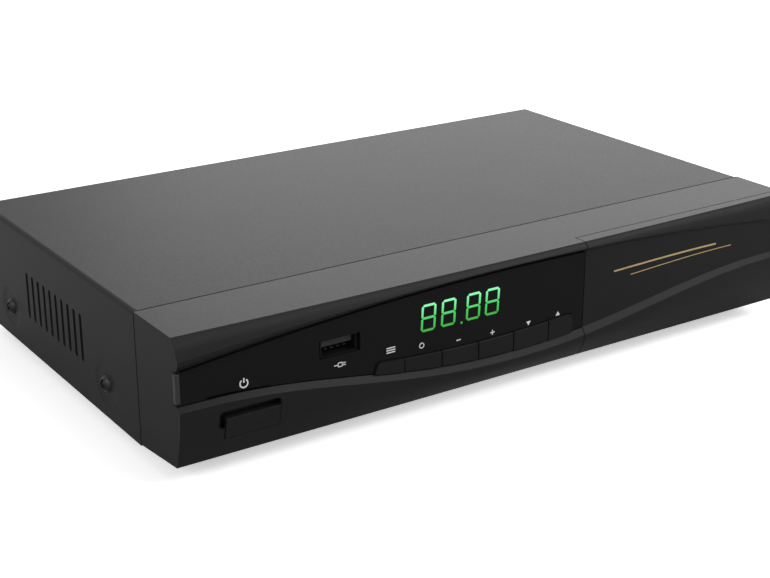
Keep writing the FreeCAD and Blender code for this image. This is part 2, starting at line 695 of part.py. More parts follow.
def make_flap(block):
    region = box(FLAP_SEAM_X, HALF_W, -FRONT_REACH - 5, FLAP_BACK_Y, -5, TOP_Z + 5)
    shell = block.common(region)
    w = FLAP_WALL
    room = [box(FLAP_SEAM_X + w, HALF_W - w, BAND_Y + w, FLAP_BACK_Y + 1, BAND_LOW_MID - 1.5, TOP_Z - w - 0.3)]
    room.append(box(FLAP_SEAM_X + w, HALF_W - w, BOTTOM_FRONT_Y + w, FLAP_BACK_Y + 1, w, BAND_LOW_MID - 1))
    shell = shell.cut(room)
    parts = [shell]
    left = FLAP_SEAM_X + SEAM_GAP
    right = HALF_W - WALL - SEAM_GAP - EAR_T
    for x in (left, right):
        plate = box(x, x + EAR_T, BAND_Y + 1, HINGE_Y, HINGE_Z - EAR_R + 0.4, HINGE_Z + EAR_R)
        plate = plate.common(block)
        parts.append(plate)
        parts.append(cyl(EAR_R - 0.4, (x, HINGE_Y, HINGE_Z), (1, 0, 0), EAR_T))
    parts.append(cyl(PEG_R, (left - SEAM_GAP - PEG_LEN, HINGE_Y, HINGE_Z), (1, 0, 0), PEG_LEN + SEAM_GAP + 0.5))
    parts.append(cyl(PEG_R, (right + EAR_T - 0.5, HINGE_Y, HINGE_Z), (1, 0, 0), PEG_LEN + 0.5))
    return joined(parts)


def make_key(index):
    x0 = KEY_EDGES[index] + KEY_GAP / 2
    x1 = KEY_EDGES[index + 1] - KEY_GAP / 2
    back = INNER_FRONT_Y + 1.1
    cap = key_prism(x0, x1, KEY_FACE_Y, back, 0.0, index == 0, index == len(KEY_NAMES) - 1)
    x, z = key_centre(index)
    inset = KEY_CORNER + 0.5
    fx0 = x0 + (inset if index == 0 else 0.0)
    fx1 = x1 - (inset if index == len(KEY_NAMES) - 1 else 0.0)
    low = min(band_low(fx0), band_low(fx1), band_low(x)) - KEY_FLANGE
    low = max(low, BAND_LOW_MID - 1.0)
    high = key_top(x) + KEY_FLANGE
    flange = box(fx0, fx1, back - KEY_FLANGE_T, back, low, high)
    stem = box(x - STEM / 2, x + STEM / 2, back - 0.2, STEM_END_Y, z - STEM / 2, z + STEM / 2)
    return joined([cap, flange, stem])


def make_power_button(block):
    face = block.common(box(POWER_X0, POWER_X1, -FRONT_REACH - 3, -25.5, POWER_Z0, POWER_Z1))
    body = box(POWER_X0, POWER_X1, -26.0, -22.6, POWER_Z0, POWER_Z1)
    x = POWER_STEM_X
    z = POWER_STEM_Z
    stem = box(x - STEM / 2, x + STEM / 2, -22.8, STEM_END_Y, z - STEM / 2, z + STEM / 2)
    return joined([face, body, stem])


def plunger(x, z):
    return cyl(PLUNGER_R, (x, STEM_END_Y, z), (0, 1, 0), PLUNGER_OUT + PLUNGER_IN)


def make_switches():
    half = SWITCH_SIZE / 2
    back = FRONT_BOARD_Y - BOARD_T
    bodies = []
    for x, z in button_places():
        body = box(x - half, x + half, SWITCH_FACE_Y, back, z - half, z + half)
        bore_len = PLUNGER_IN + POWER_TRAVEL + 0.3
        bore = cyl(PLUNGER_R + PLUNGER_FIT, (x, SWITCH_FACE_Y - 1, z), (0, 1, 0), bore_len + 1)
        bodies.append(body.cut(bore))
    return group(bodies)


def make_front_board():
    back = FRONT_BOARD_Y
    board = box(FRONT_BOARD_X0, FRONT_BOARD_X1, back - BOARD_T, back, FRONT_BOARD_Z0, FRONT_BOARD_Z1)
    holes = []
    for x, z in BEZEL_SCREW_PLACES:
        if x < FLAP_SEAM_X - 5:
            holes.append(cyl(BEZEL_BOSS_R + SCREW_FIT, (x, back - BOARD_T - 1, z), (0, 1, 0), BOARD_T + 2))
    return board.cut(holes)


def make_usb_shell():
    half_w = USB_W / 2
    half_h = USB_H / 2
    front = BAND_Y + 0.9
    back = FRONT_BOARD_Y - BOARD_T
    s = USB_SHEET
    shell = box(USB_X - half_w, USB_X + half_w, front, back, USB_Z - half_h, USB_Z + half_h)
    in_w = half_w - s
    in_h = half_h - s
    return shell.cut(box(USB_X - in_w, USB_X + in_w, front - 1, back - s, USB_Z - in_h, USB_Z + in_h))


def make_usb_tongue():
    half = USB_TONGUE_W / 2
    back = FRONT_BOARD_Y - BOARD_T - USB_SHEET
    low = USB_Z - USB_H / 2 + USB_SHEET
    tongue = box(USB_X - half, USB_X + half, BAND_Y + 2.4, back, USB_Z + 0.1, USB_Z + 0.1 + USB_TONGUE_T)
    base = box(USB_X - half, USB_X + half, back - 3.0, back, low, USB_Z + USB_H / 2 - USB_SHEET)
    return joined([tongue, base])


def board_plate(x0, x1, y0, y1):
    board = box(x0, x1, y0, y1, BOARD_Z, BOARD_TOP)
    return board.cut([cyl(BOARD_SCREW_R + SCREW_FIT, (x, y, BOARD_Z - 1), (0, 0, 1), 5)
                      for x, y in all_board_places()])


def standoffs():
    pillars = []
    for x, y in all_board_places():
        pillar = cyl(STANDOFF_R, (x, y, PAN_TOP), (0, 0, 1), STANDOFF_H)
        bore = cyl(BOARD_SCREW_R + SCREW_FIT / 2, (x, y, PAN_TOP + 0.5), (0, 0, 1), STANDOFF_H)
        pillars.append(pillar.cut(bore))
    return group(pillars)


def module_cage():
    """A folded sheet tunnel from the panel behind the flap back over the main board."""
    s = CAGE_SHEET
    y0 = BAY_WALL_Y + 0.2
    y1 = y0 + MODULE_DEPTH
    outer = box(SLOT_X0 - s, SLOT_X1 + s, y0, y1, BOARD_TOP, MODULE_Z + MODULE_H + s)
    return outer.cut(box(SLOT_X0, SLOT_X1, y0 - 1, y1 + 1, BOARD_TOP - 1, MODULE_Z + MODULE_H))


def module_header():
    """The pin block at the far end of the module slot, standing on the main board."""
    y1 = BAY_WALL_Y + 0.2 + MODULE_DEPTH
    return box(SLOT_X0 + 1, SLOT_X1 - 1, y1 - 7, y1, BOARD_TOP, MODULE_Z + MODULE_H - 0.3)


def card_reader():
    """The smart card reader: a flat tray on two legs over the module cage."""
    y0 = BAY_WALL_Y + 0.2
    y1 = y0 + CARD_READER_DEPTH
    z0 = CARD_READER_Z
    z1 = z0 + CARD_READER_H
    mid = (z0 + z1) / 2
    half = CARD_SLOT_H / 2
    body = box(SLOT_X0 - 3, SLOT_X1 + 3, y0, y1, z0, z1)
    body = body.cut(box(SLOT_X0, SLOT_X1, y0 - 1, y1 - 4, mid - half, mid + half))
    legs = []
    for x0, x1 in ((SLOT_X0 - 3, SLOT_X0 - 1), (SLOT_X1 + 1, SLOT_X1 + 3)):
        legs.append(box(x0, x1, MAIN_Y0 + 2, y1, BOARD_TOP, z0 + 0.5))
    return joined([body] + legs)


def eject_button():
    """The push rod that frees a module: its cap stands in the flap's bay, its rod runs beside the cage."""
    half = EJECT_W / 2
    z0 = eject_z()
    y0 = BAY_WALL_Y - BAY_WALL_T - EJECT_OUT
    cap = rounded_box(EJECT_X - half, EJECT_X + half, y0, BAY_WALL_Y + 2, z0, z0 + EJECT_H, (0, 1, 0), 0.8)
    rod_end = BAY_WALL_Y + MODULE_DEPTH - 8
    rod = box(EJECT_X - 1.0, EJECT_X + 1.0, BAY_WALL_Y + 1.5, rod_end, z0 + 1.2, z0 + EJECT_H - 1.2)
    return joined([cap, rod])


def eject_guide():
    """The channel that carries the eject rod, closed at its far end beyond the rod's travel."""
    z0 = eject_z()
    y0 = MAIN_Y0 + 6
    y1 = BAY_WALL_Y + MODULE_DEPTH - 8 + EJECT_TRAVEL + 0.6
    outer = box(EJECT_X - 2.4, EJECT_X + 2.4, y0, y1 + 1.5, BOARD_TOP, z0 + EJECT_H - 0.2)
    return outer.cut(box(EJECT_X - 1.1, EJECT_X + 1.1, y0 - 1, y1, z0 + 1.1, z0 + EJECT_H - 1.1))


def tuner_can():
    y1 = REAR_WALL_Y - REAR_GAP
    half = TUNER_W / 2
    can = box(TUNER_X - half, TUNER_X + half, y1 - TUNER_DEPTH, y1, BOARD_TOP, BOARD_TOP + TUNER_H)
    rooms = []
    for x in F_CONNECTOR_X:
        rooms.append(cyl(F_CONNECTOR_R - F_NECK_STEP + 0.05, (x, y1 - 3.0, F_CONNECTOR_Z), (0, 1, 0), 4))
    return can.cut(rooms)


def f_connectors():
    """Threaded barrels: a slimmer neck passes through the wall and the nut, the full thread stands outside."""
    start = REAR_WALL_Y - REAR_GAP - 3.0
    shoulder = COVER_DEPTH + F_NUT_T
    end = COVER_DEPTH + REAR_OUT
    bodies = []
    for x in F_CONNECTOR_X:
        neck = cyl(F_CONNECTOR_R - F_NECK_STEP, (x, start, F_CONNECTOR_Z), (0, 1, 0), shoulder - start + 0.1)
        thread = cyl(F_CONNECTOR_R, (x, shoulder, F_CONNECTOR_Z), (0, 1, 0), end - shoulder)
        body = joined([neck, thread])
        bodies.append(body.cut(cyl(F_BORE_R, (x, end - 7.5, F_CONNECTOR_Z), (0, 1, 0), 8)))
    return group(bodies)


def f_nuts():
    bodies = []
    r = F_NUT_AF / math.sqrt(3)
    for x in F_CONNECTOR_X:
        points = []
        for i in range(7):
            a = math.radians(60 * i)
            points.append(V(x + r * math.cos(a), COVER_DEPTH, F_CONNECTOR_Z + r * math.sin(a)))
        hexagon = Part.Face(Part.makePolygon(points)).extrude(V(0, F_NUT_T, 0))
        bore_r = F_CONNECTOR_R - F_NECK_STEP + 0.05
        bodies.append(hexagon.cut(cyl(bore_r, (x, COVER_DEPTH - 1, F_CONNECTOR_Z), (0, 1, 0), F_NUT_T + 2)))
    return group(bodies)


def hdmi_socket():
    x0, x1, z0, z1 = hdmi_face()
    y1 = COVER_DEPTH + 0.6
    shell = box(x0, x1, y1 - 12, y1, z0, z1)
    shell = shell.cut(box(x0 + 0.5, x1 - 0.5, y1 - 8, y1 + 1, z0 + 0.5, z1 - 0.5))
    mid = (z0 + z1) / 2
    tongue = box(x0 + 2.0, x1 - 2.0, y1 - 9, y1 - 1.2, mid + 0.1, mid + 1.3)
    seat = box(x0 + 1, x1 - 1, y1 - 12, y1 - 2.4, BOARD_TOP, z0 + 0.2)
    return joined([shell, tongue, seat])


def lan_socket():
    x0, x1, z0, z1 = lan_face()
    y1 = COVER_DEPTH + 0.8
    body = box(x0, x1, y1 - 18, y1, z0, z1)
    mid = (x0 + x1) / 2
    body = body.cut(box(mid - 5.9, mid + 5.9, y1 - 13, y1 + 1, z0 + 2.6, z0 + 9.6))
    return body.cut(box(mid - 3.2, mid + 3.2, y1 - 13, y1 + 1, z0 + 9.5, z0 + 12.0))


def jack_block():
    xs = [x for x, z in jack_places()]
    y1 = REAR_WALL_Y - REAR_GAP
    top = max(z for x, z in jack_places()) + JACK_EDGE
    block = box(min(xs) - JACK_EDGE, max(xs) + JACK_EDGE, y1 - 14, y1, BOARD_TOP, top)
    return block.cut([cyl(JACK_R + JACK_COLLAR + 0.05, (x, y1 - 3, z), (0, 1, 0), 4) for x, z in jack_places()])


def jack_barrels():
    start = REAR_WALL_Y - REAR_GAP - 3.0
    end = COVER_DEPTH + JACK_OUT
    bodies = []
    for x, z in jack_places():
        collar = cyl(JACK_R + JACK_COLLAR, (x, start, z), (0, 1, 0), COVER_DEPTH + 0.6 - start)
        barrel = cyl(JACK_R, (x, COVER_DEPTH, z), (0, 1, 0), end - COVER_DEPTH)
        body = joined([collar, barrel])
        bodies.append(body.cut(cyl(JACK_BORE_R, (x, end - 8, z), (0, 1, 0), 9)))
    return group(bodies)


def scart_socket():
    x0, x1, z0, z1 = scart_face()
    y1 = COVER_DEPTH + 1.2
    body = box(x0, x1, y1 - 15, y1, z0, z1)
    room = body.cut(box(x0 + 1.3, x1 - 1.3, y1 - 9, y1 + 1, z0 + 1.3, z1 - 1.3))
    core = box(x0 + 3.0, x1 - 3.0, y1 - 10, y1 - 1.0, z0 + 3.0, z1 - 3.0)
    legs = [box(x0 + 6, x0 + 11, y1 - 15, y1 - 4, BOARD_TOP, z0 + 0.5)]
    legs.append(box(x1 - 11, x1 - 6, y1 - 15, y1 - 4, BOARD_TOP, z0 + 0.5))
    slots = []
    pitch = (x1 - x0 - 10.0) / 9
    for i in range(10):
        x = x0 + 5.0 + pitch * i
        for z in (z0 + 4.4, z1 - 5.6):
            slots.append(box(x - 1.3, x + 1.3, y1 - 7, y1, z, z + 1.2))
    return joined([room, core] + legs).cut(slots)


def mains_inlet():
    """The figure-of-eight inlet: a flange outside the wall, a body inside it and a two-lobed recess."""
    x0, x1, z0, z1 = inlet_face()
    y1 = COVER_DEPTH + 1.5
    flange = rounded_box(x0 - 2.0, x1 + 2.0, COVER_DEPTH, y1, z0 - 2.0, z1 + 2.0, (0, 1, 0), 2.0)
    body = box(x0, x1, COVER_DEPTH - INLET_DEPTH, COVER_DEPTH + 0.2, z0, z1)
    inlet = joined([flange, body])
    floor = y1 - INLET_RECESS
    half = INLET_PIN_PITCH / 2
    r = INLET_RECESS_R
    xs = (INLET_X - half, INLET_X + half)
    cuts = [cyl(r, (x, floor, INLET_Z), (0, 1, 0), INLET_RECESS + 1) for x in xs]
    cuts.append(box(xs[0], xs[1], floor, y1 + 1, INLET_Z - r, INLET_Z + r))
    for side in (-1, 1):
        start = (INLET_X + side * half, COVER_DEPTH - INLET_DEPTH - 1, INLET_Z)
        cuts.append(cyl(INLET_PIN_R + 0.02, start, (0, 1, 0), INLET_DEPTH))
    return inlet.cut(cuts)


def inlet_pins():
    start = COVER_DEPTH - INLET_DEPTH - 3.0
    end = COVER_DEPTH + 1.5 - 2.4
    half = INLET_PIN_PITCH / 2
    xs = (INLET_X - half, INLET_X + half)
    return group([cyl(INLET_PIN_R, (x, start, INLET_Z), (0, 1, 0), end - start) for x in xs])


def switch_housing():
    x0, x1, z0, z1 = switch_face()
    y1 = COVER_DEPTH + 1.5
    flange = rounded_box(x0 - 1.2, x1 + 1.2, COVER_DEPTH, y1, z0 - 1.2, z1 + 1.2, (0, 1, 0), 1.0)
    body = box(x0, x1, COVER_DEPTH - 13, COVER_DEPTH + 0.2, z0, z1)
    half_w = ROCKER_W / 2 + 0.3
    half_h = ROCKER_H / 2 + 1.3
    room = box(SWITCH_X - half_w, SWITCH_X + half_w, COVER_DEPTH - 8.5, y1 + 1, INLET_Z - half_h, INLET_Z + half_h)
    pin = cyl(ROCKER_PIN_R + ROCKER_FIT, (x0 + 0.8, rocker_y(), INLET_Z), (1, 0, 0), x1 - x0 - 1.6)
    return joined([flange, body]).cut([room, pin])


def rocker_y():
    return COVER_DEPTH - 2.0


def mains_rocker():
    """A rocker whose face is two flats that meet in a shallow valley, on a pin across its middle."""
    y = rocker_y()
    tilt = math.radians(ROCKER_TILT)
    half = ROCKER_H / 2
    out = 4.2
    rise = half * math.tan(tilt)
    outline = [(y - 3.6, -2.6), (y - 0.8, -half), (y + out + rise, -half), (y + out, 0.0),
               (y + out + rise, half), (y - 0.8, half), (y - 3.6, 2.6)]
    corners = [V(SWITCH_X - ROCKER_W / 2, py, INLET_Z + pz) for py, pz in outline]
    body = Part.Face(Part.makePolygon(corners + corners[:1])).extrude(V(ROCKER_W, 0, 0))
    reach = ROCKER_W / 2 + 1.2
    pin = cyl(ROCKER_PIN_R, (SWITCH_X - reach, y, INLET_Z), (1, 0, 0), 2 * reach)
    rocker = joined([body, pin])
    return rocker.rotated(V(SWITCH_X, y, INLET_Z), V(1, 0, 0), -ROCKER_TILT)


def processor():
    return box(CHIP_X, CHIP_X + CHIP_W, CHIP_Y, CHIP_Y + CHIP_W, BOARD_TOP, BOARD_TOP + CHIP_T)


def heat_sink():
    """A base plate that rests on the processor, with upright fins along Y."""
    x0 = CHIP_X - FIN_OVERHANG
    x1 = CHIP_X + CHIP_W + FIN_OVERHANG
    y0 = CHIP_Y - FIN_OVERHANG
    y1 = CHIP_Y + CHIP_W + FIN_OVERHANG
    base_z = BOARD_TOP + CHIP_T
    base = box(x0, x1, y0, y1, base_z, base_z + FIN_BASE)
    pitch = (x1 - x0 - FIN_T) / (FIN_COUNT - 1)
    fins = []
    for i in range(FIN_COUNT):
        x = x0 + pitch * i
        fins.append(box(x, x + FIN_T, y0, y1, base_z + FIN_BASE / 2, base_z + FIN_H))
    return joined([base] + fins)


def capacitors():
    places = [(MAIN_X0 + x, y, r, h) for x, y, r, h in MAIN_CAPACITORS]
    places += [(PSU_X1 + x, y, r, h) for x, y, r, h in PSU_CAPACITORS]
    return group([cyl(r, (x, y, BOARD_TOP), (0, 0, 1), h) for x, y, r, h in places])


def mains_capacitor():
    return cyl(MAINS_CAP_R, (PSU_X0 + MAINS_CAP_IN, MAINS_CAP_Y, BOARD_TOP), (0, 0, 1), MAINS_CAP_H)


def memory_chips():
    x = CHIP_X + CHIP_W + FIN_OVERHANG + MEMORY_GAP
    bodies = []
    for i in range(2):
        y = CHIP_Y + (MEMORY_L + MEMORY_GAP) * i
        bodies.append(box(x, x + MEMORY_W, y, y + MEMORY_L, BOARD_TOP, BOARD_TOP + MEMORY_T))
    return group(bodies)


def transformer():
    """A ferrite core on legs round a taller bobbin that stands on the board."""
    x0 = PSU_X0 + CORE_IN
    y0 = PSU_Y0 + CORE_BACK
    core = box(x0, x0 + CORE_W, y0, y0 + CORE_W, BOARD_TOP + 4, BOARD_TOP + 22)
    m = CORE_MARGIN
    bobbin = box(x0 + m, x0 + CORE_W - m, y0 + m, y0 + CORE_W - m, BOARD_TOP, BOARD_TOP + 25)
    return joined([core, bobbin])


def fuse():
    """A glass tube between two clips that stand on the board."""
    x0 = PSU_X0 + FUSE_IN
    y0 = FUSE_Y
    half = FUSE_CLIP_W / 2
    ends = [box(x, x + FUSE_CLIP_T, y0 - half, y0 + half, BOARD_TOP, BOARD_TOP + 8) for x in (x0, x0 + FUSE_L)]
    glass = cyl(FUSE_R, (x0 + 2, y0, BOARD_TOP + 4.6), (1, 0, 0), FUSE_L - 1)
    return joined(ends + [glass])


def bent_wire(points, radius, bend):
    """A round wire along straight runs joined by tangent arcs."""
    corners = [V(*p) for p in points]
    edges = []
    last = corners[0]
    for before, corner, after in zip(corners, corners[1:], corners[2:]):
        a = (before - corner).normalize()
        b = (after - corner).normalize()
        turn = math.pi - a.getAngle(b)
        back = bend * math.tan(turn / 2)
        start = corner + a * back
        end = corner + b * back
        mid_dir = (a + b).normalize()
        centre = corner + mid_dir * (bend / math.cos(turn / 2))
        middle = centre - mid_dir * bend
        edges.append(Part.makeLine(last, start))
        edges.append(Part.Arc(start, middle, end).toShape())
        last = end
    edges.append(Part.makeLine(last, corners[-1]))
    path = Part.Wire(edges)
    first = (corners[1] - corners[0]).normalize()
    profile = Part.Wire([Part.makeCircle(radius, corners[0], first)])
    return path.makePipeShell([profile], True, True)


def power_wires():
    """Five insulated wires from the supply board's plug to the main board's plug."""
    wires = []
    z_plug = BOARD_TOP + 6
    from_x = PSU_X1 - PLUG_HALF - 1
    to_x = MAIN_X0 + PLUG_HALF + 4
    for i in range(HARNESS_WIRES):
        y = HARNESS_Y + HARNESS_PITCH * i
        route = [(from_x, y, z_plug), (from_x, y, z_plug + 9), (to_x, y, z_plug + 9), (to_x, y, z_plug)]
        wires.append(bent_wire(route, 0.75, 3.0))
    y0 = HARNESS_Y - 2
    y1 = HARNESS_Y + HARNESS_PITCH * (HARNESS_WIRES - 1) + 2
    plugs = [box(x - PLUG_HALF, x + PLUG_HALF, y0, y1, BOARD_TOP, z_plug) for x in (from_x, to_x)]
    return plugs + wires


def mains_wires():
    """Two insulated wires from the inlet's pins to the supply board."""
    wires = []
    y_pin = COVER_DEPTH - INLET_DEPTH - 3.0
    for side in (-1, 1):
        x = INLET_X + side * INLET_PIN_PITCH / 2
        z = INLET_Z
        route = [(x, y_pin, z), (x, y_pin - 8, z), (x, y_pin - 8, BOARD_TOP)]
        wires.append(bent_wire(route, 1.1, 3.4))
    return wires


def ribbon_cable():
    """The flat cable between the front board and the main board, with a plug at each end."""
    x0 = RIBBON_X - RIBBON_HALF
    x1 = RIBBON_X + RIBBON_HALF
    y0 = FRONT_BOARD_Y
    y1 = MAIN_Y0 + 8
    z = RIBBON_Z
    flat = box(x0, x1, y0 + 3.0, y1, z, z + 0.6)
    down = box(x0, x1, y1 - 0.6, y1, BOARD_TOP + 5, z + 0.6)
    front_plug = box(x0 - 2, x1 + 2, y0, y0 + 3.4, z - 2.2, z + 2.6)
    main_plug = box(x0 - 2, x1 + 2, y1 - 2.6, y1 + 2, BOARD_TOP, BOARD_TOP + 5)
    return joined([flat, down, front_plug, main_plug])


def feet():
    bodies = []
    for x, y in foot_places():
        foot = Part.makeCone(FOOT_R - 0.8, FOOT_R, FOOT_H, V(x, y, PAN_Z - FOOT_H), V(0, 0, 1))
        well = cyl(3.4, (x, y, PAN_Z - FOOT_H - 1), (0, 0, 1), 2.8)
        bore = cyl(FOOT_SCREW_R + SCREW_FIT, (x, y, PAN_Z - FOOT_H - 1), (0, 0, 1), FOOT_H + 3)
        bodies.append(foot.cut([well, bore]))
    return group(bodies)


def foot_screws():
    z = PAN_Z - FOOT_H + 1.8
    return group([pan_screw((x, y, z), (0, 0, -1), 2.8, 1.4, FOOT_SCREW_R, 4.2) for x, y in foot_places()])


def side_screws():
    bodies = []
    for side in (-1, 1):
        for y in SIDE_SCREW_Y:
            place = (side * (HALF_W - DIMPLE_DEPTH), y, SIDE_SCREW_Z)
            bodies.append(pan_screw(place, (side, 0, 0), SIDE_HEAD_R, SIDE_HEAD_H + DIMPLE_DEPTH, SCREW_R, 5.0))
    return bodies


def rear_screws():
    return [pan_screw((x, COVER_DEPTH, REAR_SCREW_Z), (0, 1, 0), 2.8, 1.6, SCREW_R, 5.0) for x in REAR_SCREW_X]


def bezel_screws():
    seat = FRONT_WALL_GAP + SHEET
    return group([pan_screw((x, seat, z), (0, 1, 0), 2.7, 1.5, SCREW_R, 7.0) for x, z in BEZEL_SCREW_PLACES])


def board_screws():
    places = [(x, y, BOARD_TOP) for x, y in all_board_places()]
    return group([pan_screw(place, (0, 0, 1), 2.6, 1.5, BOARD_SCREW_R, 5.0) for place in places])


def led_display():
    front = BAND_Y + WINDOW_T + DISPLAY_BEHIND
    return display_box(front, FRONT_BOARD_Y - BOARD_T, 0.0)


def ir_receiver():
    half = IR_W / 2
    back = FRONT_BOARD_Y - BOARD_T
    can = box(IR_X - half, IR_X + half, -21.0, back, IR_Z - IR_H / 2, IR_Z + IR_H / 2)
    return joined([can, cyl(2.2, (IR_X, -22.4, IR_Z), (0, 1, 0), 2.0)])


def build():
    block = front_block()
    put("top_cover", make_cover())
    put("base_tray", make_tray())
    put("rear_panel", make_rear_panel())
    put("front_bezel", make_bezel(block))
    put("display_window", make_window())
    put("card_flap", make_flap(block))
    put("rubber_feet", feet())
    put("foot_screws", foot_screws())
    put("cover_screws", group(side_screws() + rear_screws()))
    put("bezel_screws", bezel_screws())
    put("board_screws", board_screws())
    put("board_standoffs", standoffs())
    put("power_button", make_power_button(block))
    put("power_plunger", plunger(POWER_STEM_X, POWER_STEM_Z))
    for index, name in enumerate(KEY_NAMES):
        put(name, make_key(index))
        put(name.replace("_key", "_plunger"), plunger(*key_centre(index)))
    put("switch_housings", make_switches())
    put("front_board", make_front_board())
    put("led_display", led_display())
    put("remote_eye", ir_receiver())
    put("front_usb_shell", make_usb_shell())
    put("front_usb_tongue", make_usb_tongue())
    put("main_board", board_plate(MAIN_X0, MAIN_X1, MAIN_Y0, MAIN_Y1))
    put("supply_board", board_plate(PSU_X0, PSU_X1, PSU_Y0, PSU_Y1))
    put("module_cage", module_cage())
    put("module_header", module_header())
    put("card_reader", card_reader())
    put("eject_button", eject_button())
    put("eject_guide", eject_guide())
    put("tuner_can", tuner_can())
    put("f_connectors", f_connectors())
    put("f_connector_nuts", f_nuts())
    put("hdmi_socket", hdmi_socket())
    put("lan_socket", lan_socket())
    put("jack_block", jack_block())
    put("jack_barrels", jack_barrels())
    put("scart_socket", scart_socket())
    put("mains_inlet", mains_inlet())
    put("mains_inlet_pins", inlet_pins())
    put("mains_switch_housing", switch_housing())
    put("mains_rocker", mains_rocker())
    put("main_processor", processor())
    put("heat_sink", heat_sink())
    put("memory_chips", memory_chips())
    put("board_capacitors", capacitors())
    put("mains_capacitor", mains_capacitor())
    put("transformer", transformer())
    put("mains_fuse", fuse())
    put("wiring_harness", group(power_wires() + mains_wires()))
    put("ribbon_cable", ribbon_cable())


build()
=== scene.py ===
import math

import bmesh
import bpy
import numpy as np
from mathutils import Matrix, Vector


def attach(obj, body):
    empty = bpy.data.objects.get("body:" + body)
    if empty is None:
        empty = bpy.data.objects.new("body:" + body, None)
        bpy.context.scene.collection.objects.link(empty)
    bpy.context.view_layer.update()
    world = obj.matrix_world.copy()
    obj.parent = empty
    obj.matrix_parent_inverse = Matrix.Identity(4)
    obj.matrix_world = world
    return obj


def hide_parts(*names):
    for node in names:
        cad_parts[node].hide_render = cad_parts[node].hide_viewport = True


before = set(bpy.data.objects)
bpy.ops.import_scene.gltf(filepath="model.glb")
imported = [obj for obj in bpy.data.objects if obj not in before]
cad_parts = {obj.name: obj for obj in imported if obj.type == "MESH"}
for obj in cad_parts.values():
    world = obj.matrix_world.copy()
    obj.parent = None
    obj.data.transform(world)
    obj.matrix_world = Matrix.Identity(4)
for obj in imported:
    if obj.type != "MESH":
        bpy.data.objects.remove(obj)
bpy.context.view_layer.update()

# Drawing sizes, millimetres: X across, Y back from the seam of cover and front, Z up from the front's lower edge
MM = 0.001
SEAM_Y = -56.625
FLOOR_RISE = 6.88
HALF_W = 130.0
COVER_DEPTH = 131.5
TOP_Z = 42.92
BAND_Y = -27.5
BAND_TOP_MID = 40.3
BAND_TOP_END = 32.6
BAND_LOW_MID = 9.7
BAND_LOW_END = 21.2
BAND_LOW_RUN = 120.0
BAND_LOW_LEFT_POWER = 1.2
FLAP_SEAM_X = 28.4
PRINT_T = 0.06
PRINT_Y = BAND_Y - 0.05 - PRINT_T


def to_frame(points):
    """Turns drawing millimetres into the frame's metres: add the seam's place and the foot height, then scale."""
    return (np.asarray(points, float) + np.array((0.0, SEAM_Y, FLOOR_RISE))) * MM


def band_top(x):
    """Band's upper edge: mid height less the drop at the ends times the square of the share of half width."""
    return BAND_TOP_MID - (BAND_TOP_MID - BAND_TOP_END) * (np.asarray(x) / HALF_W) ** 2


def band_low(x):
    """Band's lower edge: mid height plus the rise times sine squared of a quarter turn spread over the run."""
    x = np.asarray(x, float)
    rise = np.sin(np.pi / 2 * np.minimum(np.abs(x) / BAND_LOW_RUN, 1.0)) ** 2
    rise = np.where(x < 0, rise ** BAND_LOW_LEFT_POWER, rise)
    return BAND_LOW_MID + (BAND_LOW_END - BAND_LOW_MID) * rise


# Meshes
SHARP_ANGLE = math.radians(38.0)
MERGE_DISTANCE = 2e-6
FLAT_ANGLE = math.radians(0.4)
BLOCK_FACES = [[0, 1, 3, 2], [4, 6, 7, 5], [0, 4, 5, 1], [2, 3, 7, 6], [0, 2, 6, 4], [1, 5, 7, 3]]


def placed(name, data):
    """Puts a mesh, a lamp or a lens into the scene as an object at the origin."""
    piece = bpy.data.objects.new(name, data)
    bpy.context.scene.collection.objects.link(piece)
    return piece


def add_piece(name, points, faces, material, body, slot, smooth=False):
    """Makes one object from drawing points and faces, and lets it ride on a body."""
    mesh = bpy.data.meshes.new(name)
    mesh.from_pydata(to_frame(points), [], faces)
    mesh.update()
    solid = bmesh.new()
    solid.from_mesh(mesh)
    bmesh.ops.recalc_face_normals(solid, faces=solid.faces)
    solid.to_mesh(mesh)
    solid.free()
    mesh.polygons.foreach_set("use_smooth", [smooth] * len(mesh.polygons))
    if smooth:
        mesh.set_sharp_from_angle(angle=SHARP_ANGLE)
    mesh.materials.append(material)
    piece = placed(name, mesh)
    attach(piece, body)
    return piece


def grid_faces(rows, cols, closed_rows, closed_cols):
    """Quads between neighbouring points of a grid, wrapped round where a direction is closed."""
    i = np.arange(rows if closed_rows else rows - 1)[:, None]
    j = np.arange(cols if closed_cols else cols - 1)[None, :]
    next_i = (i + 1) % rows
    next_j = (j + 1) % cols
    corners = (i * cols + j, i * cols + next_j, next_i * cols + next_j, next_i * cols + j)
    return np.stack(corners, axis=-1).reshape(-1, 4).tolist()


def capped_faces(stations):
    """Faces of a bar with four corners a station: its sides and a cap at each end."""
    last = (stations - 1) * 4
    return grid_faces(stations, 4, False, True) + [[3, 2, 1, 0], [last, last + 1, last + 2, last + 3]]


def square_off(run):
    """The direction square to each run in a plane: the run divided by its length and turned a quarter."""
    run = run / np.linalg.norm(run, axis=1)[:, None]
    return np.stack((-run[:, 1], run[:, 0]), axis=1)


def flat_rings(upper, lower, y_front, thick):
    """Four corners a station: upper and lower edge at the front Y, then lower and upper edge one thickness behind."""
    y_back = y_front + thick
    corners = [np.column_stack((edge[:, 0], np.full(len(edge), y), edge[:, 1]))
               for edge, y in ((upper, y_front), (lower, y_front), (lower, y_back), (upper, y_back))]
    return np.stack(corners, axis=1).reshape(-1, 3)


def bar_along(path, widths, y_front, thick):
    """A flat bar carried along a path in X and Z: its edges lie half the width to each side, square to the path."""
    path = np.asarray(path, float)
    half = np.broadcast_to(np.asarray(widths, float), (len(path),))[:, None] / 2
    off = square_off(np.gradient(path, axis=0)) * half
    return flat_rings(path + off, path - off, y_front, thick), capped_faces(len(path))


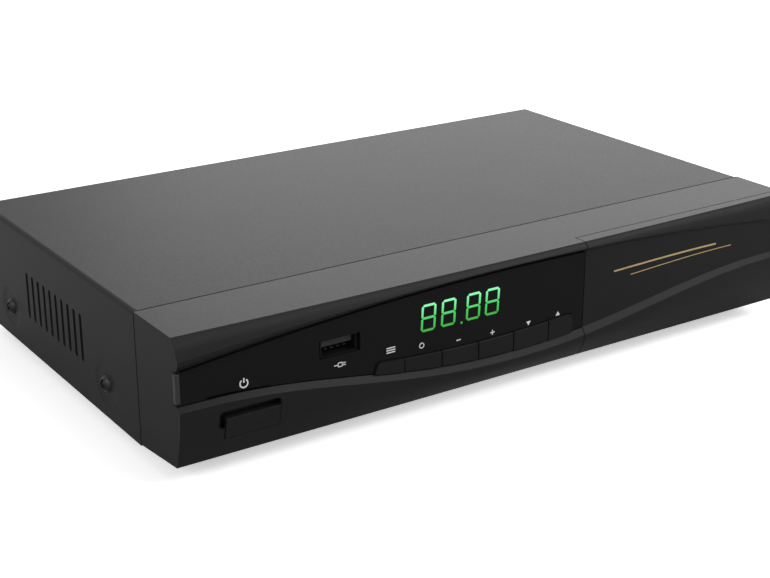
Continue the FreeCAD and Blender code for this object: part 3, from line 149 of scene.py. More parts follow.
def closed_loop_bar(path, width, y_front, thick):
    """The same bar round a closed path: the run at a point goes from the point before it to the one after."""
    path = np.asarray(path, float)
    off = square_off(np.roll(path, -1, axis=0) - np.roll(path, 1, axis=0)) * width / 2
    return flat_rings(path + off, path - off, y_front, thick), grid_faces(len(path), 4, True, True)


def block(x0, x1, y0, y1, z0, z1):
    """The eight corners of a level block and its six faces."""
    return np.stack(np.meshgrid((x0, x1), (y0, y1), (z0, z1), indexing="ij"), axis=-1).reshape(-1, 3), BLOCK_FACES


def joined(parts):
    """Puts several point and face sets into one."""
    faces = []
    start = 0
    for points, part_faces in parts:
        faces += [[index + start for index in face] for face in part_faces]
        start += len(points)
    return np.concatenate([points for points, _ in parts]), faces


def turned(profile, centre, axis, steps=48):
    """A closed profile turned about an axis: point = centre + axis * height + radius * (cos, sin) round the axis."""
    profile = np.asarray(profile, float)
    axis = np.asarray(axis, float)
    side = np.array((0.0, 0.0, 1.0)) if abs(axis[2]) < 0.5 else np.array((1.0, 0.0, 0.0))
    across = np.cross(axis, side)
    angle = np.linspace(0, 2 * np.pi, steps, endpoint=False)
    round_dir = np.cos(angle)[:, None] * side + np.sin(angle)[:, None] * across
    height = profile[None, :, 1, None] * axis
    points = np.asarray(centre, float) + height + profile[None, :, 0, None] * round_dir[:, None, :]
    return points.reshape(-1, 3), grid_faces(steps, len(profile), True, True)


def dressed_copy(node, bevel, body, material, angle=32.0, segments=2, stretch=(0.0, 0.0)):
    """A node's own mesh with triangles merged, flat areas joined and sharp edges rounded by a bevel in millimetres.

    Stretch moves the corners right of the middle further right, and those below the middle further down.
    """
    mesh = bpy.data.meshes.new(node + "_dressed")
    solid = bmesh.new()
    solid.from_mesh(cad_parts[node].data)
    bmesh.ops.remove_doubles(solid, verts=solid.verts, dist=MERGE_DISTANCE)
    bmesh.ops.dissolve_limit(solid, angle_limit=FLAT_ANGLE, verts=solid.verts, edges=solid.edges)
    bmesh.ops.recalc_face_normals(solid, faces=solid.faces)
    solid.to_mesh(mesh)
    solid.free()
    corners = np.empty(len(mesh.vertices) * 3, np.float32)
    mesh.vertices.foreach_get("co", corners)
    corners = corners.reshape(-1, 3)
    middle = corners.mean(axis=0)
    corners[:, 0] += (corners[:, 0] > middle[0]) * stretch[0] * MM
    corners[:, 2] -= (corners[:, 2] < middle[2]) * stretch[1] * MM
    mesh.vertices.foreach_set("co", corners.ravel())
    for layer in [a.name for a in mesh.attributes if a.name in ("custom_normal", "UVMap")]:
        mesh.attributes.remove(mesh.attributes[layer])
    mesh.polygons.foreach_set("use_smooth", [True] * len(mesh.polygons))
    mesh.materials.clear()
    mesh.materials.append(material)
    piece = placed(node + "_dressed", mesh)
    edge = piece.modifiers.new("edge", "BEVEL")
    edge.width = bevel * MM
    edge.segments = segments
    edge.limit_method = "ANGLE"
    edge.angle_limit = math.radians(angle)
    edge.use_clamp_overlap = True
    edge.miter_outer = "MITER_ARC"
    normals = piece.modifiers.new("normals", "WEIGHTED_NORMAL")
    normals.keep_sharp = True
    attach(piece, body)
    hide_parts(node)
    return piece


# Finishes
NOISE_LOW = 0.3
NOISE_HIGH = 0.7
MOTTLE_SCALE = 38.0
MOTTLE_DETAIL = 5.0
GRAIN_DETAIL = 2.0
ROUGH_SWING = 0.12


def new_material(name):
    """A material with Blender's main shader, and its node tree."""
    material = bpy.data.materials.new(name)
    material.use_nodes = True
    tree = material.node_tree
    return material, tree, tree.nodes["Principled BSDF"]


def object_place(tree):
    """The object's own coordinates."""
    return tree.nodes.new("ShaderNodeTexCoord").outputs["Object"]


def add_maths(tree, operation, first, second):
    """A maths node on two sockets, or on a socket and a number."""
    node = tree.nodes.new("ShaderNodeMath")
    node.operation = operation
    tree.links.new(first, node.inputs[0])
    if isinstance(second, float):
        node.inputs[1].default_value = second
    else:
        tree.links.new(second, node.inputs[1])
    return node.outputs["Value"]


def carried(tree, source, from_range, to_range):
    """Carries a value from one range onto another, held at the ends."""
    node = tree.nodes.new("ShaderNodeMapRange")
    node.inputs["From Min"].default_value, node.inputs["From Max"].default_value = from_range
    node.inputs["To Min"].default_value, node.inputs["To Max"].default_value = to_range
    tree.links.new(source, node.inputs["Value"])
    return node.outputs["Result"]


def add_noise(tree, scale, detail, stretch=None):
    """A noise over the object's own coordinates, in cycles a metre."""
    place = object_place(tree)
    noise = tree.nodes.new("ShaderNodeTexNoise")
    noise.inputs["Scale"].default_value = scale
    noise.inputs["Detail"].default_value = detail
    if stretch:
        mapping = tree.nodes.new("ShaderNodeMapping")
        mapping.inputs["Scale"].default_value = stretch
        tree.links.new(place, mapping.inputs["Vector"])
        place = mapping.outputs["Vector"]
    tree.links.new(place, noise.inputs["Vector"])
    return noise.outputs["Fac"]


def spread(tree, source, low, high):
    """Carries a noise's middle range onto low to high."""
    return carried(tree, source, (NOISE_LOW, NOISE_HIGH), (low, high))


def blend_colours(tree, factor, first, second):
    """The first colour where the factor is 0, the second where it is 1. The first may be a socket."""
    node = tree.nodes.new("ShaderNodeMix")
    node.data_type = "RGBA"
    if isinstance(first, tuple):
        node.inputs[6].default_value = (*first, 1.0)
    else:
        tree.links.new(first, node.inputs[6])
    node.inputs[7].default_value = (*second, 1.0)
    tree.links.new(factor, node.inputs["Factor"])
    return node.outputs[2]


def bumped(tree, shader, height, depth, strength=1.0):
    """Feeds a height into the shader's normal; depth in millimetres."""
    bump = tree.nodes.new("ShaderNodeBump")
    bump.inputs["Strength"].default_value = strength
    bump.inputs["Distance"].default_value = depth * MM
    tree.links.new(height, bump.inputs["Height"])
    tree.links.new(bump.outputs["Normal"], shader.inputs["Normal"])


def grained(name, colour, rough, grain, depth, specular=0.25, mottle=0.12, metallic=0.0, stretch=None, strength=0.6):
    """A finish with fine grain: slow mottling, roughness that wanders and a grain of the given cycles a metre."""
    material, tree, shader = new_material(name)
    slow = add_noise(tree, MOTTLE_SCALE, MOTTLE_DETAIL)
    fine = add_noise(tree, grain, GRAIN_DETAIL, stretch)
    dark = tuple(c * (1 - mottle) for c in colour)
    pale = tuple(min(c * (1 + mottle), 1.0) for c in colour)
    tree.links.new(blend_colours(tree, spread(tree, slow, 0.0, 1.0), dark, pale), shader.inputs["Base Color"])
    wander = spread(tree, fine, rough * (1 - ROUGH_SWING), min(rough * (1 + ROUGH_SWING), 1.0))
    tree.links.new(wander, shader.inputs["Roughness"])
    bumped(tree, shader, fine, depth, strength)
    shader.inputs["Specular IOR Level"].default_value = specular
    shader.inputs["Metallic"].default_value = metallic
    return material


TRACKS_A_METRE = 120.0
TRACK_SHARE = 0.03
MASK_GREEN = (0.012, 0.07, 0.03, 1.0)
MASK_GREEN_PALE = (0.016, 0.085, 0.036, 1.0)
TRACK_GREEN = (0.03, 0.14, 0.06, 1.0)
PADS_A_METRE = 260.0
PAD_RADIUS_SHARE = 0.13
PAD_TIN = (0.45, 0.42, 0.36)
BOARD_ROUGH = 0.35
TRACK_DEPTH = 0.04


def circuit_laminate(name):
    """Green solder mask with fine copper tracks drawn by a brick grid and pale spots for pads."""
    material, tree, shader = new_material(name)
    place = object_place(tree)
    tracks = tree.nodes.new("ShaderNodeTexBrick")
    tracks.inputs["Scale"].default_value = TRACKS_A_METRE
    tracks.inputs["Mortar Size"].default_value = TRACK_SHARE
    tracks.inputs["Color1"].default_value = MASK_GREEN
    tracks.inputs["Color2"].default_value = MASK_GREEN_PALE
    tracks.inputs["Mortar"].default_value = TRACK_GREEN
    tree.links.new(place, tracks.inputs["Vector"])
    pads = tree.nodes.new("ShaderNodeTexVoronoi")
    pads.inputs["Scale"].default_value = PADS_A_METRE
    tree.links.new(place, pads.inputs["Vector"])
    near = add_maths(tree, "LESS_THAN", pads.outputs["Distance"], PAD_RADIUS_SHARE)
    tree.links.new(blend_colours(tree, near, tracks.outputs["Color"], PAD_TIN), shader.inputs["Base Color"])
    shader.inputs["Roughness"].default_value = BOARD_ROUGH
    bumped(tree, shader, tracks.outputs["Fac"], TRACK_DEPTH)
    return material


GLOW_STEPS = ((0.0, (0.018, 0.34, 0.018, 1.0)), (0.45, (0.03, 0.55, 0.08, 1.0)), (1.0, (0.25, 1.0, 0.46, 1.0)))
UNLIT_GREEN = (0.01, 0.05, 0.015, 1.0)
SEGMENT_ROUGH = 0.4


def lit_segments(name, low_z, high_z):
    """Light-emitting bars: deep green at the digits' foot, pale mint at their head, by height above the floor."""
    material, tree, shader = new_material(name)
    split = tree.nodes.new("ShaderNodeSeparateXYZ")
    tree.links.new(object_place(tree), split.inputs["Vector"])
    heights = ((low_z + FLOOR_RISE) * MM, (high_z + FLOOR_RISE) * MM)
    share = carried(tree, split.outputs["Z"], heights, (0.0, 1.0))
    ramp = tree.nodes.new("ShaderNodeValToRGB")
    steps = ramp.color_ramp.elements
    foot, middle, head = GLOW_STEPS
    for end, (position, colour) in zip((0, 1), (foot, head)):
        steps[end].position = position
        steps[end].color = colour
    steps.new(middle[0]).color = middle[1]
    tree.links.new(share, ramp.inputs["Fac"])
    tree.links.new(ramp.outputs["Color"], shader.inputs["Emission Color"])
    shader.inputs["Base Color"].default_value = UNLIT_GREEN
    shader.inputs["Emission Strength"].default_value = 1.0
    shader.inputs["Roughness"].default_value = SEGMENT_ROUGH
    return material


COVER_COAT = grained("fine_textured_black_coat", (0.024, 0.024, 0.0243), rough=0.46, grain=2600.0, depth=0.03,
                     specular=0.07, mottle=0.05)
TRAY_COAT = grained("black_coated_tray_steel", (0.03, 0.03, 0.031), rough=0.5, grain=2200.0, depth=0.03,
                    specular=0.25, mottle=0.08)
FRONT_PLASTIC = grained("spark_grained_front_plastic", (0.014, 0.014, 0.0142), rough=0.42, grain=3000.0, depth=0.02,
                        specular=0.075, mottle=0.06, strength=0.35)
WINDOW_PLASTIC = grained("smoked_satin_window", (0.0095, 0.0095, 0.0098), rough=0.34, grain=700.0, depth=0.002,
                         specular=0.04, mottle=0.05, strength=0.15)
KEY_PLASTIC = grained("satin_black_key_plastic", (0.0135, 0.0135, 0.0137), rough=0.38, grain=2800.0, depth=0.01,
                      specular=0.06, mottle=0.06, strength=0.3)
BLACK_PLASTIC = grained("moulded_black_socket_plastic", (0.012, 0.012, 0.0125), rough=0.5, grain=1900.0, depth=0.03,
                        specular=0.3)
PLUNGER_PLASTIC = grained("pale_switch_plastic", (0.55, 0.53, 0.48), rough=0.5, grain=1500.0, depth=0.02,
                          specular=0.35, mottle=0.05)
RUBBER = grained("dull_black_rubber", (0.014, 0.014, 0.0142), rough=0.82, grain=1200.0, depth=0.06,
                 specular=0.15, mottle=0.15)
BLACK_SCREW = grained("black_zinc_screw", (0.022, 0.022, 0.024), rough=0.4, grain=900.0, depth=0.01,
                      specular=0.4, metallic=0.7)
PLATED = grained("bright_tinned_steel", (0.58, 0.58, 0.56), rough=0.28, grain=700.0, depth=0.01,
                 metallic=1.0, mottle=0.06, stretch=(1.0, 6.0, 1.0))
JACK_METAL = grained("nickel_plated_jack", (0.66, 0.64, 0.6), rough=0.2, grain=900.0, depth=0.005,
                     metallic=1.0, mottle=0.05)
BOARD = circuit_laminate("green_circuit_laminate")
HEAT_SINK = grained("black_anodised_aluminium", (0.03, 0.03, 0.033), rough=0.38, grain=800.0, depth=0.02,
                    metallic=0.6, stretch=(6.0, 1.0, 1.0))
SLEEVE = grained("dark_capacitor_sleeve", (0.016, 0.02, 0.05), rough=0.3, grain=500.0, depth=0.01, specular=0.5)
CORE = grained("taped_ferrite_core", (0.36, 0.25, 0.06), rough=0.42, grain=600.0, depth=0.03, specular=0.4)
FUSE_GLASS = grained("clear_fuse_glass", (0.6, 0.62, 0.6), rough=0.12, grain=300.0, depth=0.005,
                     specular=0.6, mottle=0.1)
WIRE = grained("soft_wire_sleeve", (0.32, 0.32, 0.3), rough=0.45, grain=800.0, depth=0.02, specular=0.35)
WHITE_INK = grained("white_pad_print", (0.88, 0.88, 0.87), rough=0.6, grain=4000.0, depth=0.004, mottle=0.08)
GOLD_INK = grained("gold_pad_print", (0.52, 0.37, 0.17), rough=0.42, grain=4000.0, depth=0.004,
                   specular=0.5, mottle=0.1, metallic=0.35)
# Near-black colour for painted shade in the gaps round the window and in the seams
SHADOW_GAP = grained("painted_shadow_black", (0.0025, 0.0025, 0.0025), rough=0.9, grain=1500.0, depth=0.01, specular=0.02)
# Near-black for the front port's shell: painted shade for the dark inside of the port opening
SHADED_PORT_SHELL = grained("port_shell_painted_shade", (0.006, 0.006, 0.0065), rough=0.5, grain=900.0, depth=0.01,
                     specular=0.12)
# Gold darkened to brown for the port's contacts: painted shade inside the opening
SHADED_PORT_CONTACT = grained("port_contact_painted_shade", (0.06, 0.05, 0.035), rough=0.5, grain=900.0, depth=0.005,
                       specular=0.3, metallic=0.4)
# The window's own plastic painted lighter where its rounded end catches the light: a painted highlight
END_BAR_LIT_PLASTIC = grained("window_end_painted_highlight", (0.034, 0.034, 0.0345), rough=0.36, grain=1800.0, depth=0.008,
                          specular=0.2, mottle=0.05, strength=0.2)
DIGIT_LOW = 25.0
DIGIT_H = 9.5
SEGMENTS = lit_segments("lit_green_segments", DIGIT_LOW, DIGIT_LOW + DIGIT_H)

SLOT_FINISH = {
    "cover_paint": COVER_COAT, "tray_steel": TRAY_COAT, "front_plastic": FRONT_PLASTIC,
    "window_plastic": WINDOW_PLASTIC, "key_plastic": KEY_PLASTIC, "black_plastic": BLACK_PLASTIC,
    "plunger_plastic": PLUNGER_PLASTIC, "rubber": RUBBER, "black_screw": BLACK_SCREW, "plated_steel": PLATED,
    "jack_metal": JACK_METAL, "circuit_board": BOARD, "heat_sink_metal": HEAT_SINK, "capacitor_sleeve": SLEEVE,
    "transformer_core": CORE, "fuse_glass": FUSE_GLASS, "wire_sleeve": WIRE,
}

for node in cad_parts.values():
    for material_slot in node.material_slots:
        material_slot.material = SLOT_FINISH[material_slot.material.name.split(".")[0]]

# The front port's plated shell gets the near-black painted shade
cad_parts["front_usb_shell"].material_slots[0].material = SHADED_PORT_SHELL

# Softened copies of the CAD shapes that the eye meets first
dressed_copy("top_cover", 0.12, "chassis", COVER_COAT)
dressed_copy("front_bezel", 0.22, "chassis", FRONT_PLASTIC, angle=24.0)
dressed_copy("card_flap", 0.18, "flap", FRONT_PLASTIC, angle=24.0)
dressed_copy("display_window", 0.3, "chassis", WINDOW_PLASTIC)
dressed_copy("power_button", 0.5, "power_key", FRONT_PLASTIC, segments=3, stretch=(0.2, 0.2))
for key in ("menu", "ok", "volume_down", "volume_up", "channel_down", "channel_up"):
    dressed_copy(key + "_key", 0.36, key, KEY_PLASTIC)
dressed_copy("rubber_feet", 0.8, "chassis", RUBBER, segments=3)
dressed_copy("cover_screws", 0.3, "chassis", BLACK_SCREW)

# Seven-segment digits
DIGIT_LEFT = (-41.6, -33.5, -23.3, -15.4)
DIGIT_W = 6.3
DIGIT_SLANT = 0.05
SEGMENT_W = 0.8
SEGMENT_SPACE = 0.14
SEGMENT_STATIONS = (0.0, 0.075, 0.925, 1.0)
SEGMENT_TIP_W = 0.12
POINT_X = (-25.4, -24.6)
POINT_Z = 24.9


def segment(x0, z0, x1, z1):
    """One bar with pointed ends: four stations, the outer two very narrow, and a lean proportional to height."""
    path = np.array((x0, z0)) + np.array(SEGMENT_STATIONS)[:, None] * np.array((x1 - x0, z1 - z0))
    path[:, 0] += DIGIT_SLANT * (path[:, 1] - DIGIT_LOW)
    return bar_along(path, (SEGMENT_TIP_W, SEGMENT_W, SEGMENT_W, SEGMENT_TIP_W), PRINT_Y, PRINT_T)


def eight(left):
    """A full digit: three level bars and four upright ones round two cells."""
    right = left + DIGIT_W - DIGIT_SLANT * DIGIT_H
    half = SEGMENT_W / 2
    space = SEGMENT_SPACE
    rows = (DIGIT_LOW + half, DIGIT_LOW + DIGIT_H / 2, DIGIT_LOW + DIGIT_H - half)
    cols = (left + half, right - half)
    bars = [segment(cols[0] + space, z, cols[1] - space, z) for z in rows]
    return bars + [segment(x, rows[i] + space, x, rows[i + 1] - space) for x in cols for i in (0, 1)]


bars = [bar for left in DIGIT_LEFT for bar in eight(left)]
bars.append(bar_along([(x, POINT_Z) for x in POINT_X], SEGMENT_W, PRINT_Y, PRINT_T))
add_piece("display_digits", *joined(bars), SEGMENTS, "chassis", "window_plastic")

# Printed marks, all plain signs
STROKE = 0.38
BOLD_STROKE = 0.48
FINE_STROKE = 0.3
CORD_STROKE = 0.32
RING_STROKE = 0.36
STANDBY_RADIUS = 1.35
STANDBY_GAP = 35.0
STANDBY_POINTS = 33
STANDBY_BAR = (0.2, 1.75)
PLUG_BACK = -0.9
PLUG_FRONT = 0.6
PLUG_HALF_H = 0.65
PRONG_SPREAD = 0.35
PRONG_TIP = 1.9
CORD_END = -2.4
LIST_HALF_W = 1.7
LIST_STEP = 0.8
RING_RADIUS = 0.85
RING_POINTS = 24
CROSS_HALF = 0.9
ARROW_HALF_H = 0.75
ARROW_WIDTHS = (1.9, 0.04)


def circle_path(x, z, radius, start, end, count):
    """Points round a circle between two angles in degrees, measured from straight up."""
    turn = np.radians(np.linspace(start, end, count))
    return np.stack((x + radius * np.sin(turn), z + radius * np.cos(turn)), axis=1)


def line_mark(x0, z0, x1, z1, width=STROKE):
    """A straight printed line."""
    return bar_along([(x0, z0), (x1, z1)], width, PRINT_Y, PRINT_T)


def standby_mark(x, z):
    """An open ring with an upright bar through its gap."""
    ring = circle_path(x, z, STANDBY_RADIUS, STANDBY_GAP, 360.0 - STANDBY_GAP, STANDBY_POINTS)
    upright = line_mark(x, z + STANDBY_BAR[0], x, z + STANDBY_BAR[1], BOLD_STROKE)
    return [bar_along(ring, BOLD_STROKE, PRINT_Y, PRINT_T), upright]


def port_mark(x, z):
    """A plug outline: a short body with two prongs and a cord."""
    back, front, low, high = x + PLUG_BACK, x + PLUG_FRONT, z - PLUG_HALF_H, z + PLUG_HALF_H
    body = [(back, low), (front, low), (front, high), (back, high)]
    sides = [line_mark(*body[i], *body[(i + 1) % 4], FINE_STROKE) for i in range(4)]
    prongs = [line_mark(front, z + s, x + PRONG_TIP, z + s, FINE_STROKE) for s in (-PRONG_SPREAD, PRONG_SPREAD)]
    return sides + prongs + [line_mark(x + CORD_END, z, back, z, CORD_STROKE)]


def list_mark(x, z):
    """Three level lines."""
    return [line_mark(x - LIST_HALF_W, z + h, x + LIST_HALF_W, z + h) for h in (-LIST_STEP, 0.0, LIST_STEP)]


def ring_mark(x, z):
    """A closed ring."""
    ring = circle_path(x, z, RING_RADIUS, 0.0, 360.0 - 360.0 / RING_POINTS, RING_POINTS)
    return [closed_loop_bar(ring, RING_STROKE, PRINT_Y, PRINT_T)]


def minus_mark(x, z):
    """A level line."""
    return [line_mark(x - CROSS_HALF, z, x + CROSS_HALF, z)]


def plus_mark(x, z):
    """A level line with an upright above and below it, which start at its edges."""
    uprights = [line_mark(x, z - CROSS_HALF, x, z - STROKE / 2), line_mark(x, z + STROKE / 2, x, z + CROSS_HALF)]
    return minus_mark(x, z) + uprights


def arrow_mark(x, z, way):
    """A solid triangle that points down for -1 and up for 1: a bar whose width runs from full to nothing."""
    return [bar_along([(x, z - ARROW_HALF_H * way), (x, z + ARROW_HALF_H * way)], ARROW_WIDTHS, PRINT_Y, PRINT_T)]


POWER_MARK = (-107.3, 23.5)
PORT_MARK = (-72.5, 21.3)
MENU_MARK = (-53.3, 21.7)
OK_MARK = (-41.1, 20.4)
QUIETER_MARK = (-26.1, 18.9)
LOUDER_MARK = (-11.9, 18.4)
CHANNEL_DOWN_MARK = (3.7, 18.2)
CHANNEL_UP_MARK = (16.7, 19.0)
marks = standby_mark(*POWER_MARK) + port_mark(*PORT_MARK) + list_mark(*MENU_MARK) + ring_mark(*OK_MARK)
marks += minus_mark(*QUIETER_MARK) + plus_mark(*LOUDER_MARK)
marks += arrow_mark(*CHANNEL_DOWN_MARK, -1) + arrow_mark(*CHANNEL_UP_MARK, 1)
add_piece("front_marks", *joined(marks), WHITE_INK, "chassis", "window_plastic")

# Gold lines on the flap: share of the band's height, width, and where each starts and ends in X
GOLD_LINES = ((0.62, 0.62, 42.0, 92.0), (0.5, 0.3, 50.0, 100.0))
GOLD_POINTS = 40
gold = []
for share, width, x0, x1 in GOLD_LINES:
    x = np.linspace(x0, x1, GOLD_POINTS)
    z = band_low(x) + share * (band_top(x) - band_low(x))
    gold.append(bar_along(np.stack((x, z), axis=1), width, BAND_Y - PRINT_T, PRINT_T))
add_piece("flap_gold_lines", *joined(gold), GOLD_INK, "flap", "front_plastic")

# Painted shadow round the window: near-black bars along the band's upper and lower edges and a slit by the lower edge,
# standing for the shade in the gaps there
GAP_T = 0.4
GAP_RISE = 0.02
GAP_POINTS = 120
WINDOW_X = (-128.6, 27.6)
TOP_GAP_W = 0.85
LOW_GAP_W = 0.26
SLIT_RISE = 0.05
SLIT_POINTS = 30
SLIT_X = (-120.0, -98.0)
SLIT_W = (1.0, 0.3)


def edge_gap(edge, x0, x1, count, lift, widths, rise):
    """A near-black bar of painted shadow that follows one of the band's edges, lifted by a set height and standing out
    by a set rise.
    """
    x = np.linspace(x0, x1, count)
    return bar_along(np.stack((x, edge(x) + lift), axis=1), widths, BAND_Y - rise, GAP_T)


gaps = [
    edge_gap(band_top, *WINDOW_X, GAP_POINTS, lift=-0.3, widths=TOP_GAP_W, rise=GAP_RISE),
    edge_gap(band_low, *WINDOW_X, GAP_POINTS, lift=0.08, widths=LOW_GAP_W, rise=GAP_RISE),
    edge_gap(band_low, *SLIT_X, SLIT_POINTS, lift=0.35, widths=np.linspace(*SLIT_W, SLIT_POINTS), rise=SLIT_RISE),
]
add_piece("window_painted_shadow_gaps", *joined(gaps), SHADOW_GAP, "chassis", "black_plastic")

# Painted shade in the seams between cover, front and flap: near-black strips in the gaps, and a near-black line that
# stands just proud of the cover's top and sides along its seam
FOOT_BACK = (0.0, -2.4)
FOOT_Y = -25.3
LEDGE_DEPTH = 1.75
LEDGE_DROP_MID = 2.4
LEDGE_DROP_LESS = 0.9
BULGE_SHARES = (0.25, 0.5, 0.75, 1.0)
LIP_SHARE_MID = 0.6
LIP_START = (0.35, 0.18)
LIP_HEIGHT_SHARE = 0.34
LIP_TO_CREASE = ((0.32, 0.66), (0.68, 0.9))
CREASE_Y_MID = -26.9
CREASE_BACK = 1.7
CREASE_END_Y = -22.0


def front_outline(x):
    """The moulded front's outline at one place in X, as Y and Z.

    From the bottom edge a sine bulge runs up to the ledge; then come the band, the lip and the crease. Lip and crease
    move back with the square of the share of half width.
    """
    out = (x / HALF_W) ** 2
    low = float(band_low(x))
    top = float(band_top(x))
    bulge = np.array(BULGE_SHARES)
    bulge_y = FOOT_Y + (BAND_Y - LEDGE_DEPTH - FOOT_Y) * np.sin(np.pi / 2 * bulge)
    bulge_z = (low - LEDGE_DROP_MID + LEDGE_DROP_LESS * out) * bulge
    lip_y = BAND_Y - LEDGE_DEPTH * (LIP_SHARE_MID + (1 - LIP_SHARE_MID) * out)
    lip_h = TOP_Z - top
    crease_y = CREASE_Y_MID + CREASE_BACK * out
    lip = [(lip_y + LIP_START[0], top + lip_h * LIP_START[1]), (lip_y, top + lip_h * LIP_HEIGHT_SHARE)]
    lip += [(lip_y + (crease_y - lip_y) * share_y, top + lip_h * share_z) for share_y, share_z in LIP_TO_CREASE]
    return np.concatenate(([FOOT_BACK, (FOOT_Y, 0.0)], np.column_stack((bulge_y, bulge_z)),
                           [(BAND_Y, low), (BAND_Y, top)], lip, [(crease_y, TOP_Z), (CREASE_END_Y, TOP_Z)]))


def seam_filler(outline, inset, x0, x1, depth):
    """A near-black strip of painted shade inside a seam: the outline moved inward by the inset, and again by the depth,
    between two X.
    """
    inward = -square_off(np.gradient(outline, axis=0))
    near = outline + inward * inset
    far = near + inward * depth
    corners = [np.column_stack((np.full(len(edge), x), edge))
               for x, edge in ((x0, near), (x1, near), (x1, far), (x0, far))]
    return np.stack(corners, axis=1).reshape(-1, 3), capped_faces(len(outline))


SEAM_DEPTH = 0.6
FLAP_BACK_SEAM = (-22.12, -21.58)
FLAP_BACK_SINK = 0.06
COVER_SEAM = (-0.14, 0.22)
COVER_SEAM_SINK = 0.05
# The cover line is painted shade: a near-black strip a little wider than the seam, standing just above the cover's top
# and sides
COVER_LINE = (-0.24, 0.26)
COVER_LINE_RISE = 0.012
COVER_BEND = 1.0
COVER_FOOT_Z = -2.0
COVER_SEAM_END = 0.2
COVER_SEAM_HEAD = 0.3
FLAP_END_SPACE = 0.3
FLAP_SEAM_START = 0.2


def side_block(side, rise, seam, top):
    """A near-black upright strip of painted shade in the seam on one side, out to the side's face plus a rise."""
    ends = sorted((side * (HALF_W + rise), side * (HALF_W - SEAM_DEPTH)))
    return block(*ends, *seam, COVER_FOOT_Z, top)


outline_at_flap = front_outline(FLAP_SEAM_X - 0.15)[1:]
seams = [
    seam_filler(outline_at_flap, inset=0.07, x0=FLAP_SEAM_X - 0.4, x1=FLAP_SEAM_X + 0.1, depth=0.4),
    block(FLAP_SEAM_X - FLAP_SEAM_START, HALF_W - FLAP_END_SPACE, *FLAP_BACK_SEAM,
          TOP_Z - SEAM_DEPTH, TOP_Z - FLAP_BACK_SINK),
    block(-HALF_W + COVER_SEAM_END, HALF_W - COVER_SEAM_END, *COVER_SEAM,
          TOP_Z - SEAM_DEPTH, TOP_Z - COVER_SEAM_SINK),
    block(-HALF_W + COVER_BEND, HALF_W - COVER_BEND, *COVER_LINE, TOP_Z - SEAM_DEPTH, TOP_Z + COVER_LINE_RISE),
]
seams += [side_block(side, -COVER_SEAM_SINK, COVER_SEAM, TOP_Z - COVER_SEAM_HEAD) for side in (-1, 1)]
seams += [side_block(side, COVER_LINE_RISE, COVER_LINE, TOP_Z - COVER_BEND) for side in (-1, 1)]
add_piece("seams_painted_shade", *joined(seams), SHADOW_GAP, "chassis", "black_plastic")

# The window's rounded end, in a lighter copy of the window plastic: painted highlight
END_RADIUS = 0.9
END_CENTRE = (-HALF_W + 0.82, BAND_Y + 0.8)
END_INNER_X = -HALF_W + 1.15
END_BACK_Y = BAND_Y + 2.0
END_LOW_SPACE = 0.3
END_TOP_SPACE = 0.55
END_DRAW_IN = 0.22
END_DRAW_POWER = 18
END_TURN_POINTS = 13


def window_end(cols=25):
    """The bar's profile is a front run, a quarter turn and a side run, carried up the band.

    Towards both ends it is drawn in by a share of a high power of the distance from the middle.
    """
    turn = np.linspace(0, np.pi / 2, END_TURN_POINTS)
    arc = np.array(END_CENTRE) - END_RADIUS * np.stack((np.sin(turn), np.cos(turn)), axis=1)
    inner_back = (END_INNER_X, END_BACK_Y)
    profile = np.concatenate(([(END_INNER_X, END_CENTRE[1] - END_RADIUS)], arc,
                              [(END_CENTRE[0] - END_RADIUS, END_BACK_Y), inner_back]))
    up = np.linspace(0, 1, cols)
    low = float(band_low(-HALF_W)) + END_LOW_SPACE
    high = float(band_top(-HALF_W)) - END_TOP_SPACE
    draw = 1 - END_DRAW_IN * np.abs(2 * up - 1) ** END_DRAW_POWER
    rings = inner_back + (profile[:, None, :] - inner_back) * draw[None, :, None]
    heights = np.broadcast_to(low + (high - low) * up, rings.shape[:2])
    points = np.concatenate((rings, heights[..., None]), axis=-1)
    foot = (np.arange(len(profile)) * cols).tolist()
    head = (np.arange(len(profile))[::-1] * cols + cols - 1).tolist()
    return points.reshape(-1, 3), grid_faces(len(profile), cols, True, False) + [foot, head]


add_piece("window_end_bar", *window_end(), END_BAR_LIT_PLASTIC, "chassis", "window_plastic", smooth=True)

# Contacts on the front port's tongue, in darkened gold: painted shade inside the opening
CONTACT_X = (-76.1, -73.8, -71.4, -69.1)
CONTACT_HALF_W = 0.6
CONTACT_Y = (-24.4, -15.0)
CONTACT_Z = (26.3, 26.45)
contacts = [block(x - CONTACT_HALF_W, x + CONTACT_HALF_W, *CONTACT_Y, *CONTACT_Z) for x in CONTACT_X]
add_piece("port_contacts", *joined(contacts), SHADED_PORT_CONTACT, "chassis", "jack_metal")

# Aerial threads and jack rings at the rear
AERIAL_X = (104.0, 80.0)
AERIAL_Z = 19.0
THREAD_START_Y = COVER_DEPTH + 2.9
THREAD_RUN = 7.8
THREAD_PITCH = 0.8
THREAD_CORE = 4.5
THREAD_HEIGHT = 0.34
THREAD_TURNS = 9
STATIONS_A_PITCH = 4
STATIONS_A_TURN = 28


def thread(x):
    """A screw thread: Y grows by one pitch a turn, and the radius is the core plus a triangle wave over each pitch."""
    angle = np.linspace(0, 2 * np.pi, STATIONS_A_TURN, endpoint=False)[None, :]
    pitches = np.arange(THREAD_TURNS * STATIONS_A_PITCH)[:, None] / STATIONS_A_PITCH
    y = np.clip((pitches + angle / (2 * np.pi)) * THREAD_PITCH, 0.0, THREAD_RUN)
    radius = THREAD_CORE + THREAD_HEIGHT * np.abs(((pitches % 1.0) * 2) - 1) + 0 * angle
    points = np.stack((x + radius * np.sin(angle), THREAD_START_Y + y, AERIAL_Z + radius * np.cos(angle)), axis=-1)
    return points.reshape(-1, 3), grid_faces(*radius.shape, False, True)


add_piece("aerial_threads", *joined([thread(x) for x in AERIAL_X]), PLATED, "chassis", "plated_steel", smooth=True)

